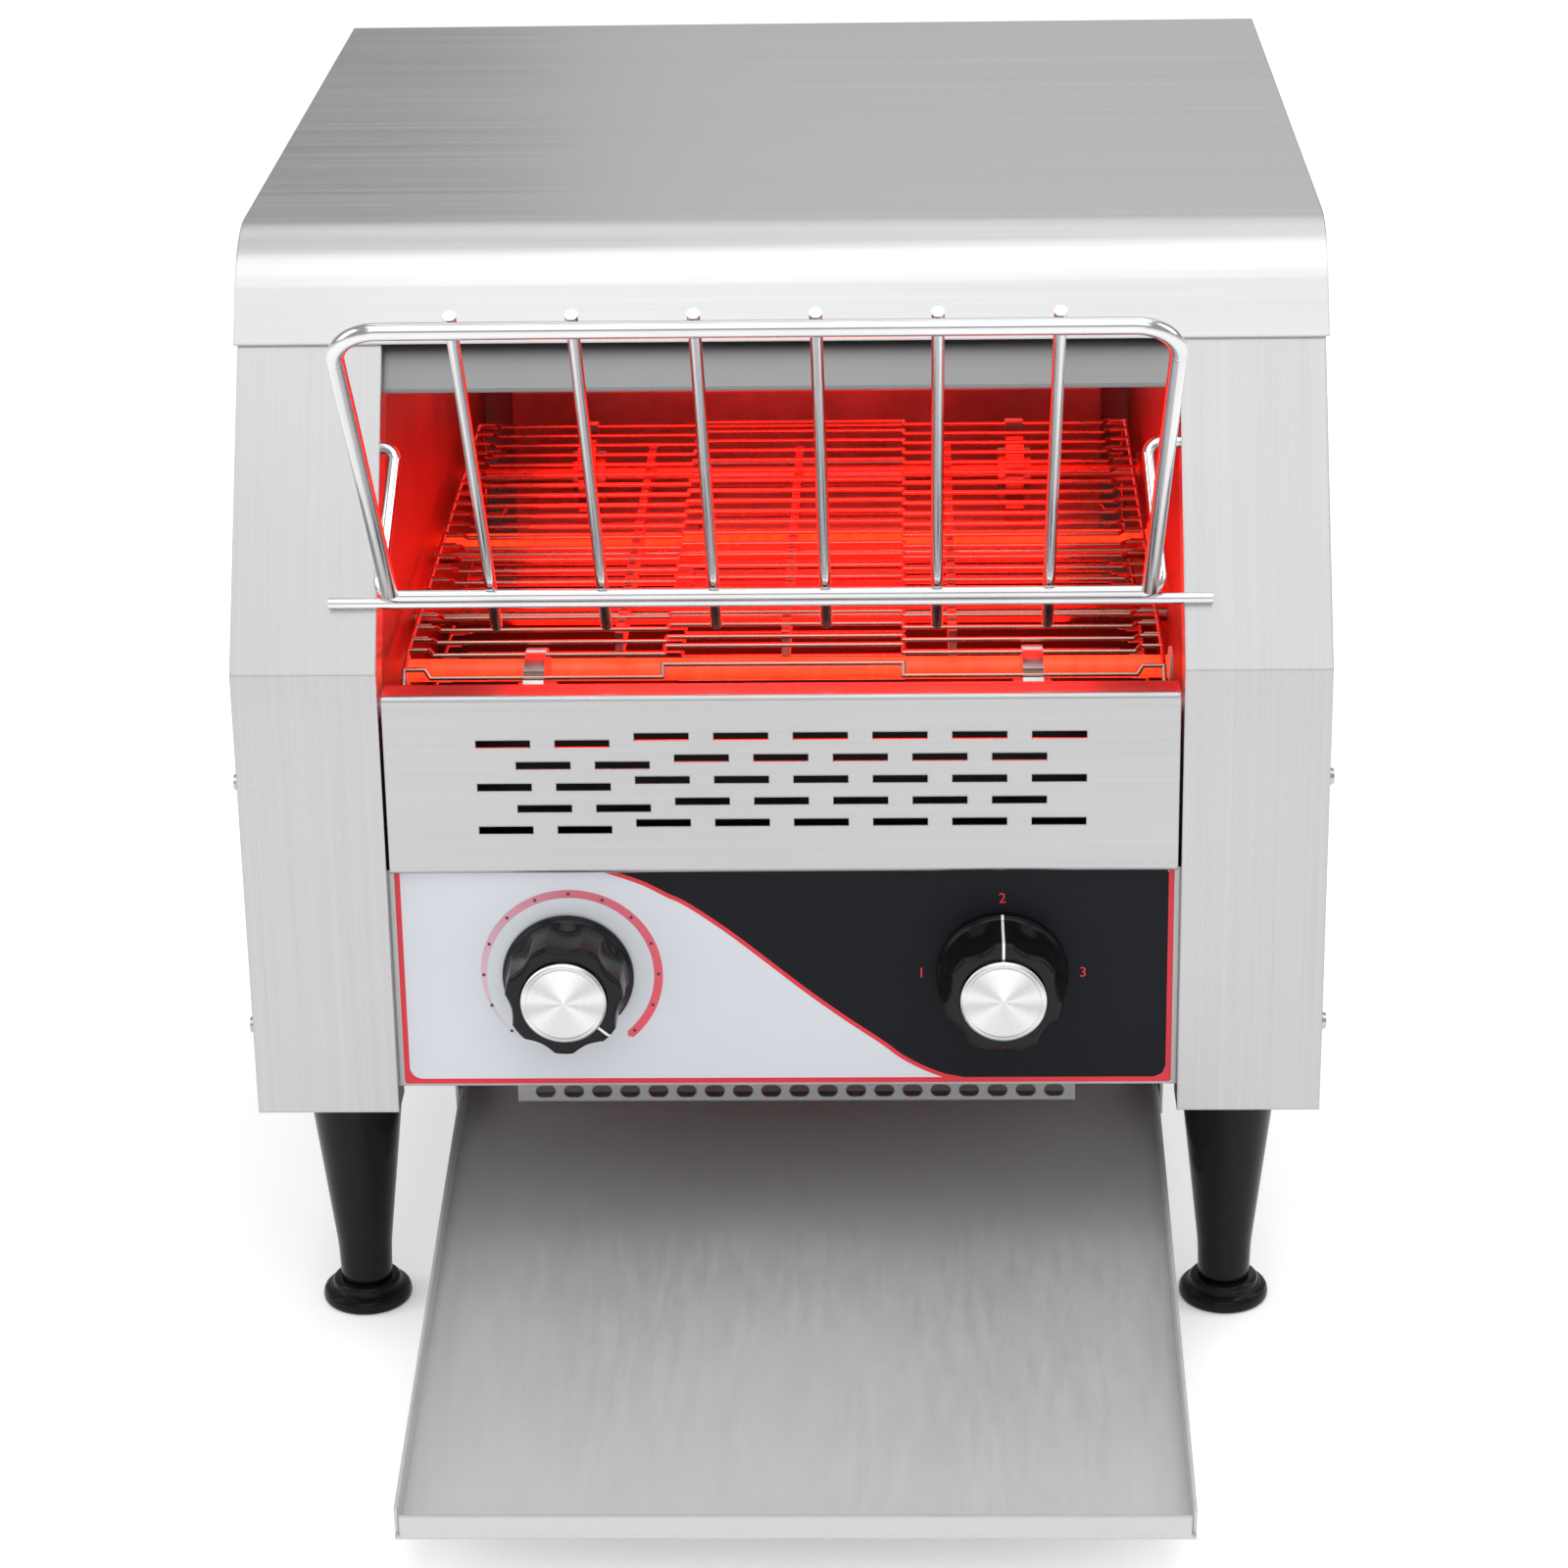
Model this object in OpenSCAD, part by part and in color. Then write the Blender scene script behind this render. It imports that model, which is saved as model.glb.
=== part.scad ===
// Conveyor toaster for slices and buns: a wire belt carries the bread through a chamber with
// heating tubes above and below, and drops it on a chute that returns it to a tray in front.
// Millimetres, +Z up, front towards -Y. Heights count from the counter.
// Inside the modules, y counts from the front face of the body, and at_body() puts it in the part's frame.

/* [Body] */
// Width over the top cover
body_w = 368; // [340:1:400]
// Depth from the front face to the rear panel's outer face
body_d = 415; // [400:1:440]
// Height of the top above the counter
top_z = 387; // [380:1:400]
// Height of the lower edge of the body's skirt
skirt_z = 96; // [90:1:100]
// Height of the base pan's underside
pan_z = 104; // [103:1:110]
// Thickness of the stainless sheet
sheet_t = 1.2; // [0.8:0.1:1.5]
// Height of the fold where the front turns back into the slope
fold_z = 257; // [255:1:262]
// Lean of the sloping front from the vertical, in degrees
slope_deg = 32.3; // [30:0.1:34]
// Outer radius of the bend between the slope and the top
bend_r = 35; // [25:1:40]
// Drop from the top to the cover's front edge
cover_drop = 33.5; // [29:0.5:37]
// Depth of the top cover's skirt over the side and rear panels
cover_skirt = 14; // [10:1:18]

/* [Front] */
// Width of each pillar's face
pillar_w = 50; // [48:0.5:54]
// Depth of the folded returns behind the pillars' faces
return_depth = 16; // [14:1:18]
// Height of the header's face below the cover's edge
header_h = 16.5; // [14:0.5:20]
// Depth of the header's face behind the sloping front
header_inset = 6; // [5:0.5:8]
// Depth of the flange under the header
header_flange = 18; // [12:1:24]
// Height of the vent panel's lower edge
vent_z0 = 184.9; // [184:0.1:188]
// Height of the vent panel's upper edge
vent_z1 = 249; // [245:0.5:250]
// Gap between the vent panel's ends and the pillars
vent_gap = 1.2; // [0.8:0.1:1.6]
// Depth of the vent panel's flanges
vent_flange = 12; // [9:1:13]
// Outer radius of the vent panel's folds
vent_fold_r = 2; // [1.5:0.1:3]
// Length of a vent slot
slot_l = 18.3; // [14:0.1:20]
// Height of a vent slot
slot_h = 2.7; // [2:0.1:3.5]
// Distance from slot to slot along a row
slot_pitch = 26.5; // [24:0.1:28]
// Distance from row to row
slot_rise = 7.75; // [6:0.05:8]
// Height of the lowest row's centre
slot_z = 203.5; // [202:0.5:205]
// Drop of the two left-hand columns, which are punched in a stroke of their own
slot_drop = 2.4; // [0:0.1:2.6]
// Setback of the control overlay behind the front face
panel_setback = 4; // [3:0.5:5]
// Thickness of the printed control overlay
overlay_t = 0.4; // [0.3:0.05:0.8]
// Margin of the overlay inside the mouth on each side
overlay_margin = 2; // [1.5:0.1:3]
// Height of the overlay's lower edge
overlay_z0 = 105; // [104.5:0.5:112]
// Radius of the overlay's lower corners
overlay_r = 5; // [3:0.5:8]

/* [Knobs] */
// Offset of each knob from the middle
knob_x = 74; // [70:0.5:80]
// Height of the knobs' axes
knob_z = 146.2; // [142:0.1:152]
// Diameter of the flange at the knob's foot
knob_flange_d = 45; // [42:0.5:50]
// Thickness of that flange
knob_flange_t = 2.4; // [1.5:0.1:3]
// Diameter of the grip
knob_grip_d = 41; // [38:0.5:42]
// Height of the knob above its foot, without the cap
knob_h = 21.7; // [18:0.1:28]
// Number of lobes round the grip, the pointer's lobe included
knob_lobes = 7; // [5:1:12]
// Width of a flute between two lobes
flute_w = 9; // [4:0.5:9.5]
// Depth of a flute
flute_depth = 1.8; // [1:0.1:2.5]
// Turn of the speed knob's pointer at rest, clockwise from straight up, in degrees
speed_rest_deg = 130.5; // [0:0.5:131]
// Diameter of the spun cap
cap_d = 29.2; // [27:0.1:34]
// Height of the spun cap above the knob
cap_h = 2.5; // [1.5:0.1:3]
// Diameter of the control shafts
control_shaft_d = 6; // [5:0.1:6.5]
// Gap between the knob's foot and the overlay
knob_gap = 0.8; // [0.5:0.1:1.5]

/* [Belt] */
// Distance from wire to wire of the belt
belt_pitch = 12.7; // [12:0.1:13]
// Diameter of the belt's wire
belt_wire = 1.6; // [1.3:0.1:1.8]
// Distance of the belt's edge wires from the mouth's sides
belt_gap = 4.6; // [4.5:0.1:8]
// Number of wires along the top run, from shaft to shaft
run_wires = 21; // [20:1:21]
// Teeth on each belt sprocket
belt_teeth = 10; // [8:2:10]
// Height of the wires' centres on the top run
belt_z = 246; // [245:0.5:247]
// Distance of the front shaft behind the front face
idler_y = 49.1; // [48:0.1:50]
// Diameter of the belt shafts
shaft_d = 10; // [8:0.5:12]
// Offset of the belt sprockets from the middle
sprocket_x = 85; // [70:1:95]
// Width of a belt sprocket's teeth
sprocket_w = 7; // [5:0.5:10]
// Offset of the Z-bends from the middle
zbend_x = 41; // [36:1:46]
// Step of a wire at a Z-bend
zbend_step = 4.5; // [3:0.1:5]
// Step of a wire at its edge link
link_step = 3; // [2.4:0.1:3.4]

/* [Drive] */
// Pitch of the drive chain
chain_pitch = 6.35; // [6.2:0.05:6.5]
// Teeth on each chain sprocket
chain_teeth = 16; // [16:4:16]
// Links between the two chain sprockets' centres
chain_links = 24; // [23:1:24]
// Fall of the chain from the rear shaft towards the motor, in degrees
chain_fall = 32; // [30:0.5:42]
// Distance of the chain's middle plane outside the chamber wall
chain_out = 21.6; // [19:0.1:24]

/* [Loading rack] */
// Diameter of the rack's frame wire
rack_wire = 5.5; // [5:0.1:6]
// Diameter of the rack's bars
bar_wire = 4; // [3:0.1:4.5]
// Diameter of the hinge wire along the lower edge
bail_wire = 4.4; // [4:0.1:5]
// Diameter of the rod that rests on the pillars
rod_wire = 4; // [3:0.1:4.5]
// Number of bars
bar_count = 6; // [4:1:8]
// Distance from bar to bar
bar_pitch = 37; // [24:0.5:38]
// Length of the rack from the hinge wire to the top rail
rack_l = 142.3; // [130:0.1:150]
// Slope of the rack from the horizontal, in degrees
rack_deg = 53.6; // [50:0.1:58]
// Distance of the frame's top corners from the mouth's sides
rack_gap = 2.7; // [2:0.1:8]
// Taper of each side wire, from the top rail to the hinge wire
rack_taper = 3.1; // [0:0.1:4]
// Sideways rest of the rack, which has play in its hinge holes
rack_shift = -3.2; // [-3.2:0.1:3.2]
// Height at which the rod rests on the sloping front
rod_z = 278.5; // [276:0.5:284]
// Length of the rod beyond the mouth on each side
rod_over = 12.5; // [8:0.5:20]
// Distance of the hinge holes behind the front face
hinge_y = 49; // [48:0.5:50]
// Height of the hinge holes
hinge_z = 320.5; // [319:0.5:322]
// Distance of the hinge wire's lower corners from the mouth's sides
bail_gap = 4.9; // [4.9:0.1:9]
// Lean of each hinge wire's leg, inwards at the hinge
bail_lean = 2.6; // [2:0.1:4]

/* [Tray and legs] */
// Distance of the tray's sides inside the mouth's width
tray_in = 6; // [5:0.5:14]
// Offset of the tray and its runners from the middle
tray_x = 5; // [-6:0.5:6]
// Reach of the tray in front of the body
tray_reach = 148; // [120:1:170]
// Height of the tray's lip above the counter
tray_front_z = 16.8; // [12:0.1:20]
// Slope of the tray, in degrees
tray_deg = 8.4; // [8:0.1:8.6]
// Length of the tray along its slope
tray_l = 500; // [470:1:510]
// Height of the tray's side flanges
tray_flange = 11; // [8:0.5:12]
// Height of the tray's front lip
tray_lip = 9; // [6:0.5:12]
// Height of the perforated strip under the pan
strip_h = 18.6; // [16:0.1:20]
// Length of the perforated strip
strip_l = 196; // [180:1:220]
// Number of holes in the strip
strip_holes = 19; // [11:2:19]
// Offset of the perforated strip from the middle
strip_x = 2.3; // [-4:0.1:4]
// Offset of the holes in the strip
strip_hole_x = 1.2; // [-3:0.1:3]
// Distance of the legs' axes from the cover's sides
leg_side = 29; // [26:0.5:31]
// Distance of the legs from the body's front and rear faces
leg_inset = 45; // [40:1:60]
// Diameter of a leg at its top
leg_top_d = 31; // [28:0.5:32]
// Diameter of a leg above its collar
leg_foot_d = 17; // [15:0.5:20]
// Diameter of a foot's disc
foot_d = 31.5; // [28:0.5:34]
// Diameter of a foot's stem
stem_d = 8; // [6:0.5:9]

/* [Hidden] */

$fn = 48;
// Facets of small round wire
wire_fn = 24;
// Overlap that makes a cut run clean through
cut = 0.5;
// Radial clearance of a turning or sliding fit
run_fit = 0.05;
// Radial clearance of a piece fixed on a shaft
seat_fit = 0.02;
// Gap between pieces of different bodies that rest on each other
rest_gap = 0.3;
// Oversize of the ball where a wire kinks
knuckle_over = 0.12;
// Gap between welded wires
weld_gap = 0.1;

// Colours
steel = "#d4d6d8";
dull_steel = "#9a9c9e";
black = "#1c1d1f";
brass = "#b08d57";

// Body
side_x = body_w / 2 - sheet_t;
mouth_w = body_w - 2 * pillar_w;
mouth_x = mouth_w / 2;
slope_tan = tan(slope_deg);
bend_z = top_z - bend_r;
bend_y = (bend_z - fold_z) * slope_tan + (bend_r - sheet_t) / cos(slope_deg);
pan_top = pan_z + sheet_t;
panel_back = panel_setback + overlay_t;
plate_back = panel_back + sheet_t;
stack_t = overlay_t + sheet_t;
rear_y = body_d - sheet_t;
wall_x = mouth_x + sheet_t;
wall_in = wall_x + sheet_t;
pan_lip = 12;
screw_holes = [30, 120];
screw_d = 4;
cover_edge_z = top_z - cover_drop;
header_z = cover_edge_z - header_h;
pillar_lap = 8;
pillar_top = cover_edge_z + pillar_lap;
shield_z = 196;
baffle_y = 222;
duct_w = 2 * (mouth_x - 10);
duct_y1 = rear_y - 14;
bush_hole_d = control_shaft_d + 4;
gland_in = 32.8;
gland_x = gland_in - side_x;
gland_z = 130;
gland_d = 16;
knob_bore_l = knob_h - 5;

// Belt
belt_half_w = mouth_x - belt_gap;
belt_r = belt_pitch / (2 * sin(180 / belt_teeth));
shaft_z = belt_z - belt_r;
drive_y = idler_y + run_wires * belt_pitch;
belt_wires = 2 * run_wires + belt_teeth;
bush_d = 16;
bush_l = 9;
bush_flange_d = 20;

// Chain
chain_x = wall_in + chain_out;
shaft_end = 8;
motor_setback = 10;
motor_shaft_l = 16;
motor_shaft_end = 4;
motor_plate_x = chain_x - motor_setback;
chain_r = chain_pitch / (2 * sin(180 / chain_teeth));
chain_span = chain_links * chain_pitch;
motor_y = drive_y - chain_span * cos(chain_fall);
motor_z = shaft_z - chain_span * sin(chain_fall);
chain_pins = 2 * chain_links + chain_teeth;
roller_d = 3.3;
chain_plate_t = 0.8;
chain_inner_w = 3.2;

// Rack, in its own plane: x across, y down the slope from the rod, z towards the bread
rod_y = (rod_z - fold_z) * slope_tan - (rod_wire / 2 + rest_gap) / cos(slope_deg);
bail_down = -(bail_wire + rod_wire) / 2 - weld_gap;
bail_up = (rod_wire - bail_wire) / 2;
frame_up = (rod_wire - rack_wire) / 2;
rail_down = bail_down - rack_l;
side_wire_x = mouth_x - rack_gap - rack_wire / 2;
rod_l = mouth_w + 2 * rod_over;
hook_x = mouth_x - bail_gap;
bail_y = rod_y + bail_down * cos(rack_deg) + bail_up * sin(rack_deg);
bail_z = rod_z - bail_down * sin(rack_deg) + bail_up * cos(rack_deg);
hook_l = norm([hinge_y - bail_y, hinge_z - bail_z]);
hook_deg = atan2(hinge_z - bail_z, hinge_y - bail_y);

// Tray and legs
tray_w = mouth_w - 2 * tray_in;
leg_x = body_w / 2 - leg_side;
leg_foot_z = 14;
leg_rear_y = body_d - leg_inset;
gland_reach = 12;
tray_tip_y = -tray_reach - tray_lip * sin(tray_deg);
datum_y = -(tray_tip_y + body_d + gland_reach) / 2;

// ---------------------------------------------------------------- helpers

module at_body() {
    translate([0, datum_y, 0])
        children();
}

// Extrudes an outline drawn in y and z along x, from x0 to x1
module across(x0, x1) {
    translate([x0, 0, 0])
        rotate([90, 0, 90])
            linear_extrude(x1 - x0)
                children();
}

// Puts children at x, z on the control panel, with their z towards the user
module on_panel(x, z) {
    translate([x, panel_setback, z])
        rotate([90, 0, 0])
            children();
}

// A bar along x from x0 to x1 at y, z
module bar_x(x0, x1, y, z, d) {
    translate([x0, y, z])
        rotate([0, 90, 0])
            cylinder(h = x1 - x0, d = d);
}

// Round wire between two points
module wire(a, b, d) {
    v = b - a;
    l = norm(v);
    translate(a)
        rotate([0, acos(v[2] / l), atan2(v[1], v[0])])
            cylinder(h = l, d = d, $fn = wire_fn);
}

// Round wire bent in the xy plane about a centre
module wire_bend(centre, r, from, to, d) {
    translate(centre)
        rotate([0, 0, from])
            rotate_extrude(angle = to - from)
                translate([r, 0])
                    circle(d = d, $fn = wire_fn);
}

// Ball that joins a straight wire to a bend that it leaves at a slight angle
module wire_knuckle(at, d) {
    translate(at)
        sphere(d = d + knuckle_over, $fn = 2 * wire_fn);
}

module mirrored() {
    for (m = [0, 1])
        mirror([m, 0, 0])
            children();
}

// The body's cross-section in y and z, inset from the cover's outer surface
module shell_outline(inset) {
    r = bend_r - inset;
    shift = (inset - sheet_t) / cos(slope_deg);
    low = skirt_z - cut;
    polygon([
        [(low - fold_z) * slope_tan + shift, low],
        [bend_y - r * cos(slope_deg), bend_z + r * sin(slope_deg)],
        [bend_y, bend_z + r],
        [body_d + sheet_t - inset, bend_z + r],
        [body_d + sheet_t - inset, low]
    ]);
    translate([bend_y, bend_z])
        circle(r = r, $fn = 96);
}

// A band of a given depth behind the front face, from height z0 to z1
module face_band(depth, z0, z1) {
    top_y = (z1 - fold_z) * slope_tan;
    polygon([
        [0, z0],
        [0, fold_z],
        [top_y, z1],
        [top_y + depth / cos(slope_deg), z1],
        [depth, fold_z - depth * tan(slope_deg / 2)],
        [depth, z0]
    ]);
}

module slot_2d(l, h) {
    square([l - h, h], center = true);
    for (s = [-1, 1])
        translate([s * (l - h) / 2, 0])
            circle(d = h, $fn = wire_fn);
}

// Rounded rectangle from corner to corner
module rounded(x0, y0, x1, y1, r) {
    translate([x0 + r, y0])
        square([x1 - x0 - 2 * r, y1 - y0]);
    translate([x0, y0 + r])
        square([x1 - x0, y1 - y0 - 2 * r]);
    for (x = [x0 + r, x1 - r], y = [y0 + r, y1 - r])
        translate([x, y])
            circle(r = r);
}

// ---------------------------------------------------------------- casing

module base_pan() {
    pan_hole_d = 6;
    pan_hole_pitch = 14;
    pan_hole_y = 110;
    color(dull_steel)
        at_body() {
            translate([0, 0, pan_z])
                linear_extrude(sheet_t)
                    difference() {
                        union() {
                            translate([-mouth_x, plate_back])
                                square([mouth_w, 2 * return_depth]);
                            translate([-side_x + sheet_t, return_depth + 1])
                                square([2 * (side_x - sheet_t), rear_y - return_depth - 1]);
                        }
                        translate([-duct_w / 2, baffle_y + 6])
                            square([duct_w, duct_y1 - baffle_y - 6]);
                        for (x = [-3 : 3], y = [0 : 3])
                            translate([x * pan_hole_pitch, pan_hole_y + y * pan_hole_pitch])
                                circle(d = pan_hole_d, $fn = wire_fn);
                    }
            mirrored()
                translate([side_x - 2 * sheet_t, return_depth + 1, pan_z])
                    cube([sheet_t, rear_y - return_depth - 1, pan_lip]);
        }
}

module pillar_half() {
    difference() {
        union() {
            across(mouth_x, side_x)
                face_band(sheet_t, skirt_z, pillar_top);
            across(mouth_x, wall_x)
                face_band(return_depth, skirt_z, pillar_top);
            across(side_x - 2 * sheet_t, side_x - sheet_t)
                face_band(return_depth, skirt_z, pillar_top);
        }
        bar_x(mouth_x - cut, wall_x + cut, hinge_y, hinge_z, bail_wire + 2 * run_fit);
        for (z = screw_holes)
            bar_x(side_x - 3 * sheet_t, side_x + cut, return_depth / 2, skirt_z + z, screw_d);
    }
}

module left_pillar() {
    color(steel)
        at_body()
            mirror([1, 0, 0])
                pillar_half();
}

module right_pillar() {
    color(steel)
        at_body()
            pillar_half();
}

module side_outline() {
    difference() {
        intersection() {
            shell_outline(sheet_t);
            translate([0, skirt_z])
                square([rear_y, top_z]);
        }
        face_band(sheet_t, skirt_z - cut, pillar_top);
        translate([-cut, pillar_top])
            square([(pillar_top - fold_z) * slope_tan + cut, top_z]);
    }
}

// Upright louvre slots in rows
module louvres(y0, z0, cols, rows, pitch_y, pitch_z, l, h) {
    for (c = [0 : cols - 1], r = [0 : rows - 1])
        translate([y0 + c * pitch_y, z0 + r * pitch_z])
            rotate(90)
                slot_2d(l, h);
}

module side_half() {
    louvre_l = 24;
    louvre_h = 3;
    louvre_pitch = 9;
    louvre_rise = 38;
    louvre_y0 = 120;
    louvre_z0 = 132;
    flange_y0 = bend_y + 8;
    difference() {
        across(side_x - sheet_t, side_x)
            difference() {
                side_outline();
                louvres(louvre_y0, louvre_z0, 22, 2, louvre_pitch, louvre_rise, louvre_l, louvre_h);
            }
        for (z = screw_holes)
            bar_x(side_x - 2 * sheet_t, side_x + cut, return_depth / 2, skirt_z + z, screw_d);
    }
    // Flange that carries the cover
    translate([side_x - cover_skirt, flange_y0, top_z - 2 * sheet_t])
        cube([cover_skirt - sheet_t, rear_y - flange_y0, sheet_t]);
}

module left_side_panel() {
    color(steel)
        at_body()
            mirror([1, 0, 0])
                side_half();
}

module right_side_panel() {
    color(steel)
        at_body()
            side_half();
}

module rear_panel() {
    vent_l = 30;
    vent_h = 4;
    vent_pitch = 38;
    vent_rise = 10;
    vent_low_z = 250;
    vent_drop = 47;
    vent_bands_z = [vent_low_z, top_z - vent_drop];
    color(steel)
        at_body()
            translate([0, rear_y, 0])
                rotate([90, 0, 0])
                    mirror([0, 0, 1])
                        linear_extrude(sheet_t)
                            difference() {
                                translate([-side_x, skirt_z])
                                    square([2 * side_x, top_z - sheet_t - skirt_z]);
                                for (z = vent_bands_z, c = [-3 : 3], r = [0 : 2])
                                    translate([c * vent_pitch, z + r * vent_rise])
                                        slot_2d(vent_l, vent_h);
                                translate([gland_x, gland_z])
                                    circle(d = gland_d);
                            }
}

module top_cover() {
    color(steel)
        at_body() {
            across(-body_w / 2, body_w / 2)
                cover_band(sheet_t);
            mirrored()
                across(side_x, body_w / 2)
                    cover_band(cover_skirt);
            translate([-body_w / 2, body_d, top_z - cover_skirt])
                cube([body_w, sheet_t, cover_skirt]);
        }
}

// A band along the cover's outline, from its front edge to its rear fold
module cover_band(depth) {
    intersection() {
        difference() {
            shell_outline(0);
            shell_outline(depth);
        }
        translate([0, cover_edge_z])
            square([body_d + sheet_t, top_z]);
    }
}

module header_panel() {
    face_y = (header_z - fold_z) * slope_tan + header_inset / cos(slope_deg);
    color(dull_steel)
        at_body()
            across(-mouth_x, mouth_x) {
                polygon([
                    [face_y, header_z],
                    [face_y + (pillar_top - header_z) * slope_tan, pillar_top],
                    [face_y + (pillar_top - header_z) * slope_tan + sheet_t / cos(slope_deg), pillar_top],
                    [face_y + sheet_t / cos(slope_deg), header_z]
                ]);
                translate([face_y, header_z])
                    square([header_flange, sheet_t]);
            }
}

module vent_slots() {
    for (r = [0 : 4], c = [0 : 7 - r % 2]) {
        x = (c - (7 - r % 2) / 2) * slot_pitch;
        drop = c < 2 ? slot_drop : 0;
        translate([x - slot_l / 2, -cut, slot_z + r * slot_rise - slot_h / 2 - drop])
            cube([slot_l, sheet_t + 2 * cut, slot_h]);
    }
}

module vent_panel() {
    x = mouth_x - vent_gap;
    inner_r = vent_fold_r - sheet_t;
    color(steel)
        at_body()
            difference() {
                across(-x, x)
                    difference() {
                        rounded(0, vent_z0, 2 * vent_flange, vent_z1, vent_fold_r);
                        rounded(sheet_t, vent_z0 + sheet_t, 3 * vent_flange, vent_z1 - sheet_t, inner_r);
                        translate([vent_flange, vent_z0 - cut])
                            square([2 * vent_flange, vent_z1]);
                    }
                vent_slots();
            }
}

module control_panel() {
    color(dull_steel)
        at_body()
            difference() {
                translate([-mouth_x, panel_back, pan_z])
                    cube([mouth_w, sheet_t, vent_z0 - pan_z]);
                for (x = [-knob_x, knob_x])
                    on_panel(x, knob_z)
                        translate([0, 0, -2 * panel_setback])
                            cylinder(h = 2 * panel_setback, d = bush_hole_d);
            }
}

module control_overlay() {
    x = mouth_x - overlay_margin;
    color("#dfe4e8")
        at_body()
            translate([0, panel_back, 0])
                rotate([90, 0, 0])
                    linear_extrude(overlay_t)
                        difference() {
                            union() {
                                translate([-x, overlay_z0 + overlay_r])
                                    square([2 * x, vent_z0 - overlay_z0 - overlay_r]);
                                rounded(-x, overlay_z0, x, vent_z0 - overlay_r, overlay_r);
                            }
                            for (s = [-knob_x, knob_x])
                                translate([s, knob_z])
                                    circle(d = bush_hole_d);
                        }
}

// ---------------------------------------------------------------- chamber

// Places of the heating tubes behind the front face
upper_tube_y = [130, 205, 280];
lower_tube_y = [90, 160, 230];
upper_tube_drop = 37;
upper_tube_z = top_z - upper_tube_drop;
lower_tube_z = shaft_z;
tube_d = 8;
tube_over = 4;
tail_d = 4;
tail_l = 18;
ceramic_d = 14;
ceramic_l = 14;
rail_rod_d = 6;
rail_rod_y = [125, 195];
rail_rod_z = belt_z - 13;

module wall_half() {
    front_z = shield_z - 6;
    wall_over = 26;
    difference() {
        across(wall_x, wall_in)
            difference() {
                intersection() {
                    shell_outline(2 * sheet_t);
                    translate([panel_setback, skirt_z])
                        square([duct_y1 - panel_setback, upper_tube_z + wall_over - skirt_z]);
                }
                translate([-cut, -cut])
                    square([baffle_y + cut, front_z + cut]);
                translate([-cut, -cut])
                    square([body_d, pan_top + cut]);
            }
        bar_x(wall_x - cut, wall_in + cut, hinge_y, hinge_z, bail_wire + 2 * run_fit);
        for (y = [idler_y, drive_y])
            bar_x(wall_x - cut, wall_in + cut, y, shaft_z, bush_d);
        for (y = upper_tube_y)
            bar_x(wall_x - cut, wall_in + cut, y, upper_tube_z, ceramic_d);
        for (y = lower_tube_y)
            bar_x(wall_x - cut, wall_in + cut, y, lower_tube_z, ceramic_d);
        for (y = rail_rod_y)
            bar_x(wall_x - cut, wall_in + cut, y, rail_rod_z, rail_rod_d + 2 * seat_fit);
    }
    // Foot along the base pan
    translate([wall_in, baffle_y + 10, pan_top])
        cube([8, duct_y1 - baffle_y - 20, sheet_t]);
}

module left_chamber_wall() {
    color(dull_steel)
        at_body()
            mirror([1, 0, 0])
                wall_half();
}

module right_chamber_wall() {
    color(dull_steel)
        at_body()
            wall_half();
}

module upper_reflector() {
    z = upper_tube_z + 14;
    y0 = bend_y - 22;
    color(dull_steel)
        at_body()
            across(-wall_x, wall_x) {
                translate([y0, z])
                    square([duct_y1 - y0, sheet_t]);
                translate([duct_y1 - sheet_t, z - 10])
                    square([sheet_t, 10 + sheet_t]);
            }
}

// Sheet under the belt, with an upstand behind the vent panel and a leg down to the pan
module lower_heat_shield() {
    foot_w = 12;
    upstand_h = 40;
    front_y = return_depth + 1;
    color(dull_steel)
        at_body()
            across(-wall_x, wall_x) {
                translate([front_y, shield_z])
                    square([baffle_y - front_y, sheet_t]);
                translate([front_y, shield_z])
                    square([sheet_t, upstand_h]);
                translate([baffle_y - sheet_t, pan_top])
                    square([sheet_t, shield_z - pan_top + sheet_t]);
                translate([baffle_y - foot_w, pan_top])
                    square([foot_w, sheet_t]);
            }
}

module heating_tube(y, z) {
    bar_x(-wall_in - tube_over, wall_in + tube_over, y, z, tube_d);
    mirrored()
        bar_x(wall_in + tube_over, wall_in + tube_over + tail_l, y, z, tail_d);
}

module upper_elements() {
    color("#b8573a")
        at_body()
            for (y = upper_tube_y)
                heating_tube(y, upper_tube_z);
}

module lower_elements() {
    color("#b8573a")
        at_body()
            for (y = lower_tube_y)
                heating_tube(y, lower_tube_z);
}

// One end insulator: a collar that seats in the chamber wall
module insulator(y, z) {
    collar_w = 3;
    collar_d = ceramic_d + 5;
    difference() {
        union() {
            bar_x(wall_x - 1, wall_in + ceramic_l, y, z, ceramic_d);
            bar_x(wall_in, wall_in + collar_w, y, z, collar_d);
        }
        bar_x(wall_x - 2, wall_in + tube_over + seat_fit, y, z, tube_d + 2 * seat_fit);
        bar_x(wall_in, wall_in + ceramic_l + cut, y, z, tail_d + 2 * seat_fit);
    }
}

module element_insulators() {
    color("#e9e4da")
        at_body()
            mirrored() {
                for (y = upper_tube_y)
                    insulator(y, upper_tube_z);
                for (y = lower_tube_y)
                    insulator(y, lower_tube_z);
            }
}

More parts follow.
